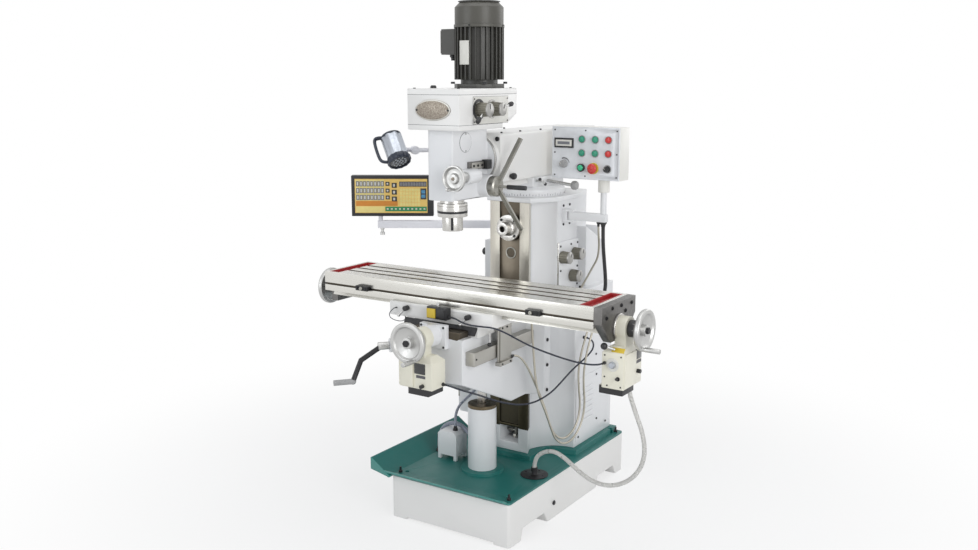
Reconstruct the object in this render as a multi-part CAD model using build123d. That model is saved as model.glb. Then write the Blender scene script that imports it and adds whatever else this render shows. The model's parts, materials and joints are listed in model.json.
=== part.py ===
from build123d import *
import math
import os

# A knee milling machine with a vertical head and a horizontal spindle. Millimetres, X along the table with
# the operator's right positive, the front facing -Y, Z up. The origin is on the floor, mid base.

# Clearances
SLIDE_GAP = 0.2  # between flat sliding faces
RUN_GAP = 0.05  # radial, shaft in bore
FREE_GAP = 2.0  # around what passes without touching

# Base casting
BASE_WIDTH = 580.0
BASE_DEPTH = 1005.0
BASE_HEIGHT = 180.0
BASE_CORNER = 14.0
BASE_WALL = 24.0
BASE_BED = 60.0  # height of the reservoir floor
NOTCH_HEIGHT = 49.0
FRONT_FOOT = 90.0  # length of the front feet along Y
FRONT_NOTCH = 213.0
REAR_FOOT = 70.0
REAR_NOTCH = 194.0
NOTCH_SLOPE = 30.0
FOOT_WIDTH = 75.0
SKIRT_RELIEF = 9.0  # the skirt clears the floor between the feet
ANCHOR_RADIUS = 9.0
ANCHOR_INSET_X = 40.0
ANCHOR_INSET_Y = 55.0

# Chip tray
TRAY_PLATE = 8.0
TRAY_SHEET = 6.0  # thickness of the flared rims
SIDE_RIM_OUT = 90.0
SIDE_RIM_RISE = 62.0
SIDE_RIM_END = 110.0  # Y where the left rim stops
LIP_OUT = 28.0
LIP_RISE = 17.0
COLUMN_PAD = 20.0
PAD_MARGIN = 26.0

# Drain strainer
STRAINER_INSET = 73.0  # from the right side of the base
STRAINER_Y = -189.0
STRAINER_RADIUS = 58.0
STRAINER_PLATE = 4.0
SPIGOT_RADIUS = 12.0
SPIGOT_HEIGHT = 22.0

# Column casting
WAY_FACE = -43.0  # Y of the ground ways
WAY_HALF = 98.0  # half width at the face
WAY_ROOT = 78.0  # half width behind the dovetail
WAY_DEPTH = 45.0
WAY_TOP = 1303.0
SLOT_HALF = 48.0
SLOT_DEPTH = 12.0
LOWER_HALF = 230.0
LOWER_FRONT = 130.0
COLUMN_BACK = 485.0
LOWER_TOP = 905.0
UPPER_HALF = 165.0
UPPER_FRONT = 75.0
UPPER_SIDE_END = 250.0
UPPER_REAR_HALF = 120.0
UPPER_BACK = 420.0
REAR_BOX_HALF = 190.0
REAR_BOX_FRONT = 290.0
REAR_BOX_HEIGHT = 267.0
REAR_BOX_WALL = 180.0  # height of its upright back
REAR_BOX_SLOPE = 23.0
SIDE_BOX_OUT = 50.0  # the boss on the left side
SIDE_BOX_FRONT = 95.0
SIDE_BOX_BACK = 285.0
SIDE_BOX_HEIGHT = 200.0
TOP_PLATE = 19.0
TOP_OVERHANG = 9.0
COLUMN_WALL = 24.0
WINDOW_HALF = 47.0
WINDOW_RISE = 38.0  # above the column's foot
WINDOW_HEIGHT = 70.0

# Horizontal spindle
ARBOR_DROP = 110.0  # axis below the top of the ways
CAP_RADIUS = 55.0
CAP_PLATE = 14.0
CAP_PILOT = 42.0
CAP_DEPTH = 120.0
ARBOR_SHAFT = 33.0
ARBOR_NOSE = 28.0
ARBOR_REACH = 46.0
ARBOR_BORE = 12.7
ARBOR_BORE_DEPTH = 70.0

# Selector plate and gear knobs on the column
PLATE_THICK = 8.0
PLATE_EDGE = 2.0  # from the column's front corner
PLATE_LENGTH = 170.0
PLATE_RISE = 13.0  # above the lower column
PLATE_HEIGHT = 208.0
KNOB_RADIUS = 27.0
KNOB_LENGTH = 46.0
KNOB_STEM = 9.0
KNOB_OFFSETS = ((21.0, 144.0), (130.0, 146.0), (109.0, 52.0))  # Y and Z from the plate's lower front corner

# Side cover and electrical cabinet
COVER_THICK = 4.0
COVER_FRONT = 140.0
COVER_BACK = 440.0
COVER_RISE = 24.0  # above the column's foot
COVER_HEIGHT = 285.0
CABINET_OUT = 170.0
CABINET_FRONT = 150.0
CABINET_BACK = 450.0
CABINET_RISE = 54.0  # above the column's foot
CABINET_HEIGHT = 598.0
CABINET_WALL = 6.0

# Screw pedestal and elevating screw
PEDESTAL_Y = -254.0
PEDESTAL_RADIUS = 60.0
PEDESTAL_WALL = 12.0
PEDESTAL_TOP = 466.0
PEDESTAL_FLANGE = 91.0
PEDESTAL_STEP = 12.0
NUT_CAP = 14.0
NUT_SPIGOT = 30.0
SCREW_RADIUS = 20.0
SCREW_BOTTOM = 255.0
SCREW_COLLAR = 42.0

# Coolant pump
PUMP_X = -188.0
PUMP_Y = -205.0
PUMP_WIDTH = 96.0
PUMP_DEPTH = 84.0
PUMP_RISE = 20.0  # above the tray
PUMP_HEIGHT = 108.0
PUMP_LEG = 14.0
PUMP_HOSE = 9.0

# Knee
KNEE_HALF = 122.0
KNEE_FRONT = -575.0
KNEE_FLARE_START = -108.0
KNEE_FLARE_END = -62.0
KNEE_HEEL = -220.0  # Y where the sloping underside ends
KNEE_REAR_HALF = 185.0
KNEE_REAR = -8.0
KNEE_DECK = 833.0
KNEE_HEIGHT = 333.0
KNEE_FACE = 176.0  # height of the front wall
KNEE_WALL = 18.0
KNEE_ROOF = 55.0  # deck thickness
CROSS_WAY_HEIGHT = 28.0
CROSS_WAY_ROOT = 102.0
CROSS_WAY_HALF = 116.0
CROSS_SCREW_RISE = 14.0  # axis above the deck
CHANNEL_HALF = 34.0
CHANNEL_DEPTH = 26.0  # below the screw axis

# Crank for the knee
CRANK_X = -98.0  # where the axis leaves the front of the knee
CRANK_BELOW = 40.0  # axis below the deck
CRANK_TURN = 40.0  # degrees the axis points towards the operator's left
CRANK_BOSS = 27.0
CRANK_BOSS_LENGTH = 106.0
CRANK_SHAFT = 12.0
CRANK_SOCKET = 15.0
CRANK_SOCKET_LENGTH = 44.0
CRANK_RISE = (0.0, -83.0, -51.0)  # first leg of the arm, with the axis along -Y
CRANK_DROP = (0.0, -33.0, -82.0)  # second leg of the arm
CRANK_ARM = 10.0
CRANK_GRIP = 11.0
CRANK_GRIP_LENGTH = 75.0

# Saddle
SADDLE_LEFT = -275.0
SADDLE_RIGHT = 218.0
SADDLE_FRONT = -512.0
SADDLE_BACK = -200.0
SADDLE_HEIGHT = 99.0  # from the deck to the table's underside
SHOULDER_RISE = 43.0  # above the deck
SADDLE_LOWER_HALF = 150.0
SWITCH_LEFT = -66.0
SWITCH_RIGHT = 26.0
SWITCH_OUT = 33.0
SWITCH_DROP = 39.0  # below the table's underside
SWITCH_HEIGHT = 48.0
SCALE_FRONT = -555.0  # Y of the front end of the cross scale
SCALE_OUT = 41.0
SCALE_DROP = 47.0  # below the deck
SCALE_HEIGHT = 55.0
READER_FRONT = -400.0
READER_BACK = -302.0
READER_HANG = 18.0  # below the scale
READER_SHEET = 8.0
APRON_LEFT = -190.0
APRON_RIGHT = 150.0
APRON_SHEET = 7.0
APRON_OUT = 24.0
APRON_HEIGHT = 30.0
LOCK_PLACES = (-185.0, 112.0)  # X of the table locks
LOCK_DROP = 19.0  # below the table's underside
LOCK_STEM = 7.0
LOCK_REACH = 42.0

# Table
TABLE_LENGTH = 1270.0
TABLE_WIDTH = 280.0
TABLE_HEIGHT = 80.0
TABLE_Y = -356.0
TABLE_WAY_HEIGHT = 27.0
TABLE_WAY_ROOT = 76.0
TABLE_WAY_HALF = 90.0
SLOT_PITCH = 63.0
SLOT_NECK = 16.0
SLOT_HEAD = 26.0
SLOT_NECK_DEPTH = 17.0
SLOT_HEAD_DEPTH = 12.0
TROUGH_LENGTH = 52.0
TROUGH_DEPTH = 16.0
TROUGH_WALL = 14.0
GROOVE_DROP = 50.0  # its middle below the table's top
GROOVE_HEIGHT = 8.0
GROOVE_DEPTH = 10.0
STOP_PLACES = (-424.0, 391.0)  # X of the table stops
STOP_LENGTH = 62.0
STOP_HEIGHT = 20.0
STOP_OUT = 16.0

# Long screw, end brackets and hand wheels
LONG_SCREW_DROP = 14.0  # axis below the table's underside
LONG_SCREW = 12.5
BRACKET_THICK = 33.0
BRACKET_EAR = 18.0  # lower edge of its ears above the table's underside
BRACKET_HANG = 48.0  # below the screw axis
BRACKET_HANG_HALF = 62.0
LEFT_BRACKET_DROP = 27.0  # its top below the table's top
LEFT_HUB = 40.0
WHEEL_RADIUS = 78.0
WHEEL_RIM = 15.0
WHEEL_WEB = 6.0
WHEEL_HUB = 21.0
WHEEL_GRIP = 9.0
WHEEL_GRIP_LENGTH = 72.0

# Power feed units
FEED_NECK = 44.0
FEED_NECK_LENGTH = 46.0
FEED_DIAL = 32.0
FEED_DIAL_LENGTH = 40.0
FEED_BEHIND = 28.0  # the box reaches this far behind the neck
FEED_LENGTH = 88.0
FEED_HALF = 76.0
FEED_CHAMFER = 22.0
FEED_DROP = 60.0  # from the screw axis to the top of the box
FEED_BASE = 32.0
FEED_BASE_SIDE = 96.0  # the motor under the box is square
FEED_BASE_BEHIND = 52.0
LONG_FEED_HEIGHT = 156.0
CROSS_FEED_HEIGHT = 126.0
CROSS_FEED_ORIGIN = -650.0  # Y of the cross feed neck
CROSS_FLANGE = 25.0
CROSS_FLANGE_HALF = 60.0
CROSS_FLANGE_DROP = 52.0  # below the cross screw
CROSS_FLANGE_RISE = 41.0
CROSS_SCREW = 11.0
RIGHT_GRIP = -62.0  # degrees, where each wheel's grip stands
LEFT_GRIP = -70.0
CROSS_GRIP = -118.0

# Turret and ram
TURRET_Y = 125.0
TURRET_RADIUS = 150.0
TURRET_DISC = 43.0
TURRET_PIVOT = 60.0
PIVOT_DEPTH = 14.0
TURRET_BLOCK_HALF = 90.0
TURRET_BLOCK_FRONT = -5.0
TURRET_BLOCK_BACK = 255.0
BLOCK_HEIGHT = 39.6
RAM_HEIGHT = 195.0
RAM_HALF = 100.0
RAM_FRONT = -272.0
RAM_BACK = 520.0
RAM_WALL = 20.0
RAM_COVER = 8.0
TONGUE_HEIGHT = 25.0
TONGUE_ROOT = 55.0
TONGUE_HALF = 67.0

# Head, quill and vertical spindle
TILT_RISE = 95.0  # axis above the ram's underside
TILT_DISC = 95.0
TILT_DISC_THICK = 16.0
TILT_SPIGOT = 30.0
TILT_SPIGOT_LENGTH = 16.0
SPINDLE_Y = -460.0
HEAD_HALF = 58.0
HEAD_FRONT = -540.0
HEAD_BACK = -306.0
HEAD_DROP = 145.0  # below the tilt axis
HEAD_RISE = 122.0  # above it
HEAD_CORNER = 10.0
QUILL_RADIUS = 46.0
QUILL_HEADROOM = 20.0
QUILL_COLLAR = 58.0
COLLAR_DROP = 14.0  # below the head
COLLAR_HEIGHT = 52.0
NOSE_RADIUS = 40.0
NOSE_LENGTH = 55.0
SPINDLE_RADIUS = 28.0
DRIVE_RADIUS = 18.0
DRIVE_LENGTH = 88.0  # above the head
COLLET_BORE = 12.065
COLLET_DEPTH = 80.0

# Quill lever and fine feed
LEVER_Y = -335.0
LEVER_RISE = 45.0  # above the head's underside
LEVER_BOSS = 44.0
LEVER_BOSS_END = 100.0
LEVER_HUB = 40.0
LEVER_HUB_END = 132.0
LEVER_SHAFT = 12.0
LEVER_ANGLES = (66.0, -63.0)  # degrees from +Y, seen from +X
LEVER_REACH = 200.0
LEVER_SPLAY = 58.0
LEVER_BAR = 9.0
LEVER_GRIP = 9.0
LEVER_GRIP_END = 255.0
FINE_X = 90.0
FINE_RISE = 92.0  # above the head's underside
FINE_BOSS = 27.0
FINE_BOSS_FRONT = -505.0
FINE_BOSS_BACK = -425.0
FINE_SHAFT = 9.0
FINE_WHEEL = 49.0
FINE_WHEEL_Y = -566.0

# Gearbox housing and motor
GEARBOX_HALF = 118.0
GEARBOX_FRONT = -581.0
GEARBOX_BACK = -183.0
GEARBOX_HEIGHT = 152.0
GEARBOX_STEP_Y = -285.0
GEARBOX_STEP = 25.0
GEARBOX_CUT = 54.0
GEARBOX_WALL = 20.0
GEARBOX_LID = 20.0
GEARBOX_KNOBS = (-456.0, -366.0)  # Y of the two head knobs
GEARBOX_KNOB_RISE = 75.0
GEARBOX_KNOB_LENGTH = 55.0
MOTOR_Y = -272.0
MOTOR_FLANGE_HALF = 88.0
MOTOR_FLANGE = 16.0
MOTOR_FOOT = 16.0
MOTOR_CORE = 85.0
MOTOR_FIN = 12.0
MOTOR_FINS = 28
MOTOR_FIN_THICK = 5.0
MOTOR_HEIGHT = 230.0
FAN_RADIUS = 95.0
FAN_HEIGHT = 98.0
FAN_CHAMFER = 22.0
BOX_OUT = 150.0  # terminal box, away from the motor axis
BOX_HALF = 48.0
BOX_DROP = 102.0  # its underside below the top of the motor body
BOX_HEIGHT = 98.0

# Control panel on its arm
ARM_Y = 125.0
ARM_DROP = 82.0  # below the column's top
ARM_HEIGHT = 34.0
ARM_DEPTH = 30.0
ARM_BRACKET = 40.0
ARM_PIN = 10.0
POST_X = 354.0
POST_RADIUS = 13.0
POST_HEIGHT = 132.0  # above the arm
PANEL_OFFSET = 217.0  # from the post to the panel's left side
PANEL_WIDTH = 313.0
PANEL_AHEAD = 55.0  # in front of the post
PANEL_DEPTH = 85.0
PANEL_RISE = 30.0  # above the post
PANEL_HEIGHT = 214.0
PANEL_FACE = 4.0
PANEL_INSET = 8.0
PANEL_SOCKET = 24.0
BUTTON_RADIUS = 13.0
BUTTON_OUT = 12.0
BUTTON_IN = 14.0
BUTTON_ACROSS = (141.0, 202.0, 262.0)  # from the panel's left side
BUTTON_DOWN = (50.0, 106.0)  # from its top
STOP_ACROSS = 196.0
LOWER_UP = 47.0  # from its bottom
STOP_BUTTON_RADIUS = 21.0
STOP_BUTTON_OUT = 26.0
SELECTOR_ACROSS = 259.0
SELECTOR_RADIUS = 13.0
DIAL_ACROSS = 59.0
DIAL_UP = 61.0
DIAL_RADIUS = 17.0

# Readout on its arm
READOUT_TURN = 33.0  # degrees towards the operator's right
READOUT_PIVOT_X = -245.0
READOUT_PIVOT_Y = 250.0
READOUT_ARM_DROP = 168.0  # below the column's top
READOUT_ARM_HEIGHT = 34.0
READOUT_ARM_DEPTH = 26.0
READOUT_ARM_LENGTH = 550.0
READOUT_WIDTH = 372.0
READOUT_HEIGHT = 185.0
READOUT_DEPTH = 46.0
READOUT_RISE = 39.0  # above its arm
READOUT_POST = 10.0
READOUT_SHIFT = 57.0  # from the post to the middle of the console

# Work lamp
LAMP_BASE_X = -122.0
LAMP_BASE_Y = -80.0
LAMP_RISE = 115.0  # above the ram's underside
LAMP_REACH = (-174.0, -225.0, 2.0)  # from the base to the elbow
LAMP_HANG = (-66.0, -45.0, 4.0)  # from the elbow to the middle of the lamp
LAMP_AIM = (0.56, -0.27, -0.78)
LAMP_RADIUS = 50.0
LAMP_LENGTH = 135.0
LAMP_ARM = 9.0
LAMP_JOINT = 17.0

# Cords, with routes chosen by hand
DRAIN_HOSE = 9.0
DRAIN_ROUTE = (
    (651, -256, 885), (651, -256, 820), (658, -261, 740), (673, -269, 654), (706, -274, 574),
    (742, -278, 496), (753, -277, 420), (731, -267, 348), (676, -256, 282), (594, -246, 240),
    (508, -236, 240), (438, -226, 268), (378, -216, 302), (318, -204, 318), (258, -193, 298),
    (217, -189, 256), (217, -189, 210),
)
SWITCH_CABLE = 3.2
SWITCH_ROUTE = (
    (26, -529, 905), (56, -529, 905), (90, -546, 900), (138, -556, 894), (192, -552, 894),
    (240, -541, 894), (288, -526, 877), (336, -511, 852), (390, -494, 828), (448, -478, 810),
    (510, -472, 798), (570, -475, 793), (624, -476, 794), (652, -459, 797), (652, -432, 797),
)
FEED_CABLE = 3.6
FEED_ROUTE = (
    (230, 204, 696), (256, 204, 696), (280, 200, 684), (291, 184, 662), (288, 152, 641),
    (281, 104, 622), (273, 52, 604), (265, 2, 582), (257, -46, 556), (246, -94, 530),
    (231, -146, 512), (213, -202, 502), (188, -262, 506), (164, -322, 525), (147, -382, 550),
    (137, -440, 578), (132, -496, 604), (131, -548, 626), (132, -594, 646), (127, -629, 662),
    (106, -641, 672), (76, -641, 672),
)
SCALE_CABLE = 4.5
SCALE_ROUTE = (
    (230, 170, 830), (258, 170, 830), (280, 161, 806), (285, 142, 756), (278, 116, 694),
    (270, 98, 628), (266, 93, 560), (266, 101, 492), (267, 113, 428), (265, 108, 366),
    (259, 78, 316), (250, 28, 290), (241, -24, 300), (233, -64, 338), (227, -88, 390),
    (221, -104, 442), (213, -124, 494), (205, -148, 546), (197, -174, 598), (188, -200, 650),
    (178, -232, 694), (169, -266, 716), (169, -302, 716),
)
CONDUIT = 8.0
CONDUIT_ROUTE = (
    (354, 125, 1223), (354, 125, 1172), (353, 133, 1110), (352, 148, 1048), (348, 168, 988),
    (338, 192, 932), (316, 214, 888), (280, 228, 864), (230, 228, 864),
)

# Heights and places that follow from the sizes above
TRAY_TOP = BASE_HEIGHT + TRAY_PLATE
PAD_TOP = TRAY_TOP + COLUMN_PAD
STRAINER_X = BASE_WIDTH / 2 - STRAINER_INSET
PUMP_BOTTOM = TRAY_TOP + PUMP_RISE
COLUMN_TOP = WAY_TOP + TOP_PLATE
REAR_BOX_TOP = LOWER_TOP + REAR_BOX_HEIGHT
REAR_BOX_EAVE = LOWER_TOP + REAR_BOX_WALL
REAR_BOX_BACK = COLUMN_BACK - REAR_BOX_SLOPE
SIDE_BOX_TOP = LOWER_TOP + SIDE_BOX_HEIGHT
WINDOW_BOTTOM = PAD_TOP + WINDOW_RISE
WINDOW_TOP = WINDOW_BOTTOM + WINDOW_HEIGHT
COVER_BOTTOM = PAD_TOP + COVER_RISE
COVER_TOP = COVER_BOTTOM + COVER_HEIGHT
CABINET_BOTTOM = PAD_TOP + CABINET_RISE
CABINET_TOP = CABINET_BOTTOM + CABINET_HEIGHT
ARBOR_Z = WAY_TOP - ARBOR_DROP
PLATE_FRONT = UPPER_FRONT + PLATE_EDGE
PLATE_BACK = PLATE_FRONT + PLATE_LENGTH
PLATE_BOTTOM = LOWER_TOP + PLATE_RISE
PLATE_TOP = PLATE_BOTTOM + PLATE_HEIGHT
KNOB_PLACES = [(PLATE_FRONT + y, PLATE_BOTTOM + z) for y, z in KNOB_OFFSETS]
KNEE_FLOOR = KNEE_DECK - KNEE_HEIGHT
KNEE_CHIN = KNEE_DECK - KNEE_FACE
SCREW_TOP = KNEE_DECK - KNEE_ROOF
CROSS_SCREW_Z = KNEE_DECK + CROSS_SCREW_RISE
CROSS_FLANGE_BOTTOM = CROSS_SCREW_Z - CROSS_FLANGE_DROP
CROSS_FLANGE_TOP = CROSS_SCREW_Z + CROSS_FLANGE_RISE
CRANK_Z = KNEE_DECK - CRANK_BELOW
SCALE_TOP = KNEE_DECK - SCALE_DROP
SCALE_BOTTOM = SCALE_TOP - SCALE_HEIGHT
READER_BOTTOM = SCALE_BOTTOM - READER_HANG
TABLE_BOTTOM = KNEE_DECK + SADDLE_HEIGHT
TABLE_TOP = TABLE_BOTTOM + TABLE_HEIGHT
TABLE_END = TABLE_LENGTH / 2
TABLE_FRONT = TABLE_Y - TABLE_WIDTH / 2
SADDLE_TOP = TABLE_BOTTOM - SLIDE_GAP
SADDLE_BOTTOM = KNEE_DECK + SLIDE_GAP
SADDLE_SHOULDER = KNEE_DECK + SHOULDER_RISE
SWITCH_BOTTOM = TABLE_BOTTOM - SWITCH_DROP
SWITCH_TOP = SWITCH_BOTTOM + SWITCH_HEIGHT
APRON_BOTTOM = SADDLE_SHOULDER - APRON_HEIGHT
LOCK_Z = TABLE_BOTTOM - LOCK_DROP
GROOVE_Z = TABLE_TOP - GROOVE_DROP
LONG_SCREW_Z = TABLE_BOTTOM - LONG_SCREW_DROP
BRACKET_EAR_Z = TABLE_BOTTOM + BRACKET_EAR
BRACKET_FACE = TABLE_END + BRACKET_THICK
TURRET_BOTTOM = COLUMN_TOP + SLIDE_GAP
TURRET_TOP = TURRET_BOTTOM + TURRET_DISC
BLOCK_TOP = TURRET_TOP + BLOCK_HEIGHT
RAM_BOTTOM = BLOCK_TOP + SLIDE_GAP
RAM_TOP = RAM_BOTTOM + RAM_HEIGHT
TILT_Z = RAM_BOTTOM + TILT_RISE
HEAD_BOTTOM = TILT_Z - HEAD_DROP
HEAD_TOP = TILT_Z + HEAD_RISE
QUILL_TOP = HEAD_TOP - QUILL_HEADROOM
COLLAR_TOP = HEAD_BOTTOM - COLLAR_DROP
COLLAR_BOTTOM = COLLAR_TOP - COLLAR_HEIGHT
NOSE_BOTTOM = COLLAR_BOTTOM - NOSE_LENGTH
DRIVE_TOP = HEAD_TOP + DRIVE_LENGTH
LEVER_Z = HEAD_BOTTOM + LEVER_RISE
FINE_Z = HEAD_BOTTOM + FINE_RISE
GEARBOX_TOP = HEAD_TOP + GEARBOX_HEIGHT
GEARBOX_KNOB_Z = HEAD_TOP + GEARBOX_KNOB_RISE
MOTOR_BODY_TOP = GEARBOX_TOP + MOTOR_HEIGHT
FAN_TOP = MOTOR_BODY_TOP + FAN_HEIGHT
BOX_BOTTOM = MOTOR_BODY_TOP - BOX_DROP
BOX_TOP = BOX_BOTTOM + BOX_HEIGHT
FEED_BOX_END = FEED_LENGTH - FEED_BEHIND
WHEEL_PLACE = FEED_NECK_LENGTH + FEED_DIAL_LENGTH + SLIDE_GAP
ARM_Z = COLUMN_TOP - ARM_DROP
POST_TOP = ARM_Z + POST_HEIGHT
PANEL_LEFT = POST_X - PANEL_OFFSET
PANEL_RIGHT = PANEL_LEFT + PANEL_WIDTH
PANEL_FRONT = ARM_Y - PANEL_AHEAD
PANEL_BOTTOM = POST_TOP + PANEL_RISE
PANEL_TOP = PANEL_BOTTOM + PANEL_HEIGHT
BUTTON_COLUMNS = [PANEL_LEFT + across for across in BUTTON_ACROSS]
BUTTON_ROWS = [PANEL_TOP - down for down in BUTTON_DOWN]
LOWER_ROW = PANEL_BOTTOM + LOWER_UP
STOP_BUTTON_X = PANEL_LEFT + STOP_ACROSS
SELECTOR_X = PANEL_LEFT + SELECTOR_ACROSS
DIAL_X = PANEL_LEFT + DIAL_ACROSS
DIAL_Z = PANEL_BOTTOM + DIAL_UP
READOUT_ARM_Z = COLUMN_TOP - READOUT_ARM_DROP
READOUT_BOTTOM = READOUT_ARM_Z + READOUT_RISE
LAMP_Z = RAM_BOTTOM + LAMP_RISE
LAMP_BASE = (LAMP_BASE_X, LAMP_BASE_Y, LAMP_Z)
LAMP_ELBOW = tuple(a + b for a, b in zip(LAMP_BASE, LAMP_REACH))
LAMP_CENTRE = tuple(a + b for a, b in zip(LAMP_ELBOW, LAMP_HANG))


def block(x0, x1, y0, y1, z0, z1):
    """A box between two corners."""
    middle = Pos((x0 + x1) / 2, (y0 + y1) / 2, (z0 + z1) / 2)
    return middle * Box(x1 - x0, y1 - y0, z1 - z0)


def rod(radius, start, end):
    """A round bar from one point to another."""
    run = Vector(*end) - Vector(*start)
    return extrude(Plane(origin=start, z_dir=run) * Circle(radius), amount=run.length)


def tube(outer, inner, start, end):
    """A round bar with a hole through it."""
    return rod(outer, start, end) - rod(inner, start, end)


def bar(width, depth, start, end):
    """A flat bar from one point to another."""
    run = Vector(*end) - Vector(*start)
    return extrude(Plane(origin=start, z_dir=run) * Rectangle(width, depth), amount=run.length)


def prism_x(points, x0, x1):
    """An outline in Y and Z, drawn out along X."""
    face = make_face(Polyline(*[(x0, y, z) for y, z in points], close=True))
    return extrude(face, amount=x1 - x0, dir=(1, 0, 0))


def prism_y(points, y0, y1):
    """An outline in X and Z, drawn out along Y."""
    face = make_face(Polyline(*[(x, y0, z) for x, z in points], close=True))
    return extrude(face, amount=y1 - y0, dir=(0, 1, 0))


def prism_z(points, z0, z1):
    """An outline in X and Y, drawn out along Z."""
    face = make_face(Polyline(*[(x, y, z0) for x, y in points], close=True))
    return extrude(face, amount=z1 - z0, dir=(0, 0, 1))


def turned(profile, origin, direction):
    """A profile of radius and distance, turned about an axis."""
    along = Vector(*direction).normalized()
    across = Vector(1, 0, 0) if abs(along.Z) > 0.7 else Vector(0, 0, 1)
    across = (across - along * across.dot(along)).normalized()
    side = Plane(origin=origin, x_dir=across, z_dir=across.cross(along))
    face = make_face(side * Polyline(*profile, close=True))
    return revolve(face, axis=Axis(origin, direction))


def both_sides(half):
    """A right half and its mirror image, as one solid."""
    return half + mirror(half, about=Plane.YZ)


def vertical_edges(shape):
    return shape.edges().filter_by(Axis.Z)


def cord(radius, route):
    """A tube along straight runs joined by arcs as large as the runs allow."""
    points = [Vector(*point) for point in route]
    radii = []
    for before, here, after in zip(points, points[1:], points[2:]):
        turn = math.radians((here - before).get_angle(after - here))
        shorter = min((here - before).length, (after - here).length)
        radii.append(0.45 * shorter / math.tan(turn / 2))
    path = FilletPolyline(*points, radius=radii)
    start = Plane(origin=points[0], z_dir=points[1] - points[0])
    solid = sweep(start * Circle(radius), path=path)
    share = solid.volume / (math.pi * radius**2 * path.length)
    print("cord radii", round(min(radii)), "to", round(max(radii)), "volume share", round(share, 4))
    return solid


def anchor_places():
    """X and Y of the four anchor holes."""
    x = BASE_WIDTH / 2 - ANCHOR_INSET_X
    y = BASE_DEPTH / 2 - ANCHOR_INSET_Y
    return [(sx * x, sy * y) for sx in (-1, 1) for sy in (-1, 1)]


# Stand


def base_casting():
    half_width, half_depth = BASE_WIDTH / 2, BASE_DEPTH / 2
    body = block(-half_width, half_width, -half_depth, half_depth, 0, BASE_HEIGHT)
    body = fillet(vertical_edges(body), BASE_CORNER)
    notches = (
        (-half_depth + FRONT_FOOT, FRONT_NOTCH),
        (half_depth - REAR_FOOT - REAR_NOTCH, REAR_NOTCH),
    )
    for start, length in notches:
        outline = [
            (start, 0),
            (start + NOTCH_SLOPE / 2, NOTCH_HEIGHT),
            (start + length - NOTCH_SLOPE, NOTCH_HEIGHT),
            (start + length, 0),
        ]
        body -= prism_x(outline, -half_width, half_width)
    inner = half_width - FOOT_WIDTH
    body -= block(-inner, inner, -half_depth, half_depth, 0, SKIRT_RELIEF)
    front = -half_depth + BASE_WALL
    back = WAY_FACE - BASE_WALL
    body -= block(-inner, inner, front, back, BASE_BED, BASE_HEIGHT)
    body -= block(-inner, inner, front, back, 0, BASE_BED - 0.75 * BASE_WALL)
    bay = STRAINER_X + STRAINER_RADIUS / 2
    body -= block(inner, bay, STRAINER_Y - STRAINER_RADIUS, back, BASE_BED, BASE_HEIGHT)
    body -= block(-inner, inner, BASE_WALL, half_depth - BASE_WALL, 0, BASE_HEIGHT - BASE_WALL)
    for x, y in anchor_places():
        body -= rod(ANCHOR_RADIUS, (x, y, 0), (x, y, BASE_HEIGHT))
    return [body]


def chip_tray():
    half_width, half_depth = BASE_WIDTH / 2, BASE_DEPTH / 2
    plate = block(-half_width, half_width, -half_depth, half_depth, BASE_HEIGHT, TRAY_TOP)
    plate = fillet(vertical_edges(plate), BASE_CORNER)
    rim_x = -half_width - SIDE_RIM_OUT
    rim_z = TRAY_TOP + SIDE_RIM_RISE
    side = [
        (-half_width + TRAY_PLATE, BASE_HEIGHT),
        (-half_width + TRAY_PLATE, TRAY_TOP),
        (rim_x + TRAY_SHEET, rim_z),
        (rim_x, rim_z),
        (rim_x, rim_z - TRAY_SHEET),
        (-half_width, BASE_HEIGHT),
    ]
    lip_y = -half_depth - LIP_OUT
    lip_z = TRAY_TOP + LIP_RISE
    front = [
        (-half_depth + TRAY_PLATE, BASE_HEIGHT),
        (-half_depth + TRAY_PLATE, TRAY_TOP),
        (lip_y + TRAY_SHEET, lip_z),
        (lip_y, lip_z),
        (lip_y, lip_z - TRAY_SHEET),
        (-half_depth, BASE_HEIGHT),
    ]
    tray = plate + prism_y(side, lip_y, SIDE_RIM_END)
    tray += prism_x(front, rim_x, half_width - BASE_CORNER)
    gusset = [(-half_width + TRAY_PLATE, BASE_HEIGHT), (rim_x, rim_z), (rim_x, lip_z - TRAY_SHEET)]
    tray += prism_y(gusset, lip_y, lip_y + TRAY_SHEET)
    reach = WAY_HALF + PAD_MARGIN
    wide = LOWER_HALF + PAD_MARGIN
    pad = [
        (reach, WAY_FACE - PAD_MARGIN),
        (reach, LOWER_FRONT - 2 * PAD_MARGIN),
        (wide, LOWER_FRONT - PAD_MARGIN),
        (wide, half_depth),
    ]
    pad += [(-x, y) for x, y in reversed(pad)]
    tray += prism_z(pad, TRAY_TOP, PAD_TOP)
    seat = (0, PEDESTAL_Y, TRAY_TOP)
    tray += rod(PEDESTAL_FLANGE, seat, (0, PEDESTAL_Y, TRAY_TOP + PEDESTAL_STEP))
    mouth = STRAINER_RADIUS / 2
    tray -= rod(mouth, (STRAINER_X, STRAINER_Y, BASE_HEIGHT), (STRAINER_X, STRAINER_Y, TRAY_TOP))
    for x, y in anchor_places():
        tray -= rod(ANCHOR_RADIUS, (x, y, BASE_HEIGHT), (x, y, PAD_TOP))
    return [tray]


def drain_strainer():
    centre = (STRAINER_X, STRAINER_Y)
    top = TRAY_TOP + STRAINER_PLATE
    plate = rod(STRAINER_RADIUS, (*centre, TRAY_TOP), (*centre, top))
    spigot = rod(SPIGOT_RADIUS, (*centre, top), (*centre, TRAY_TOP + SPIGOT_HEIGHT))
    return [plate + spigot]


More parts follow.
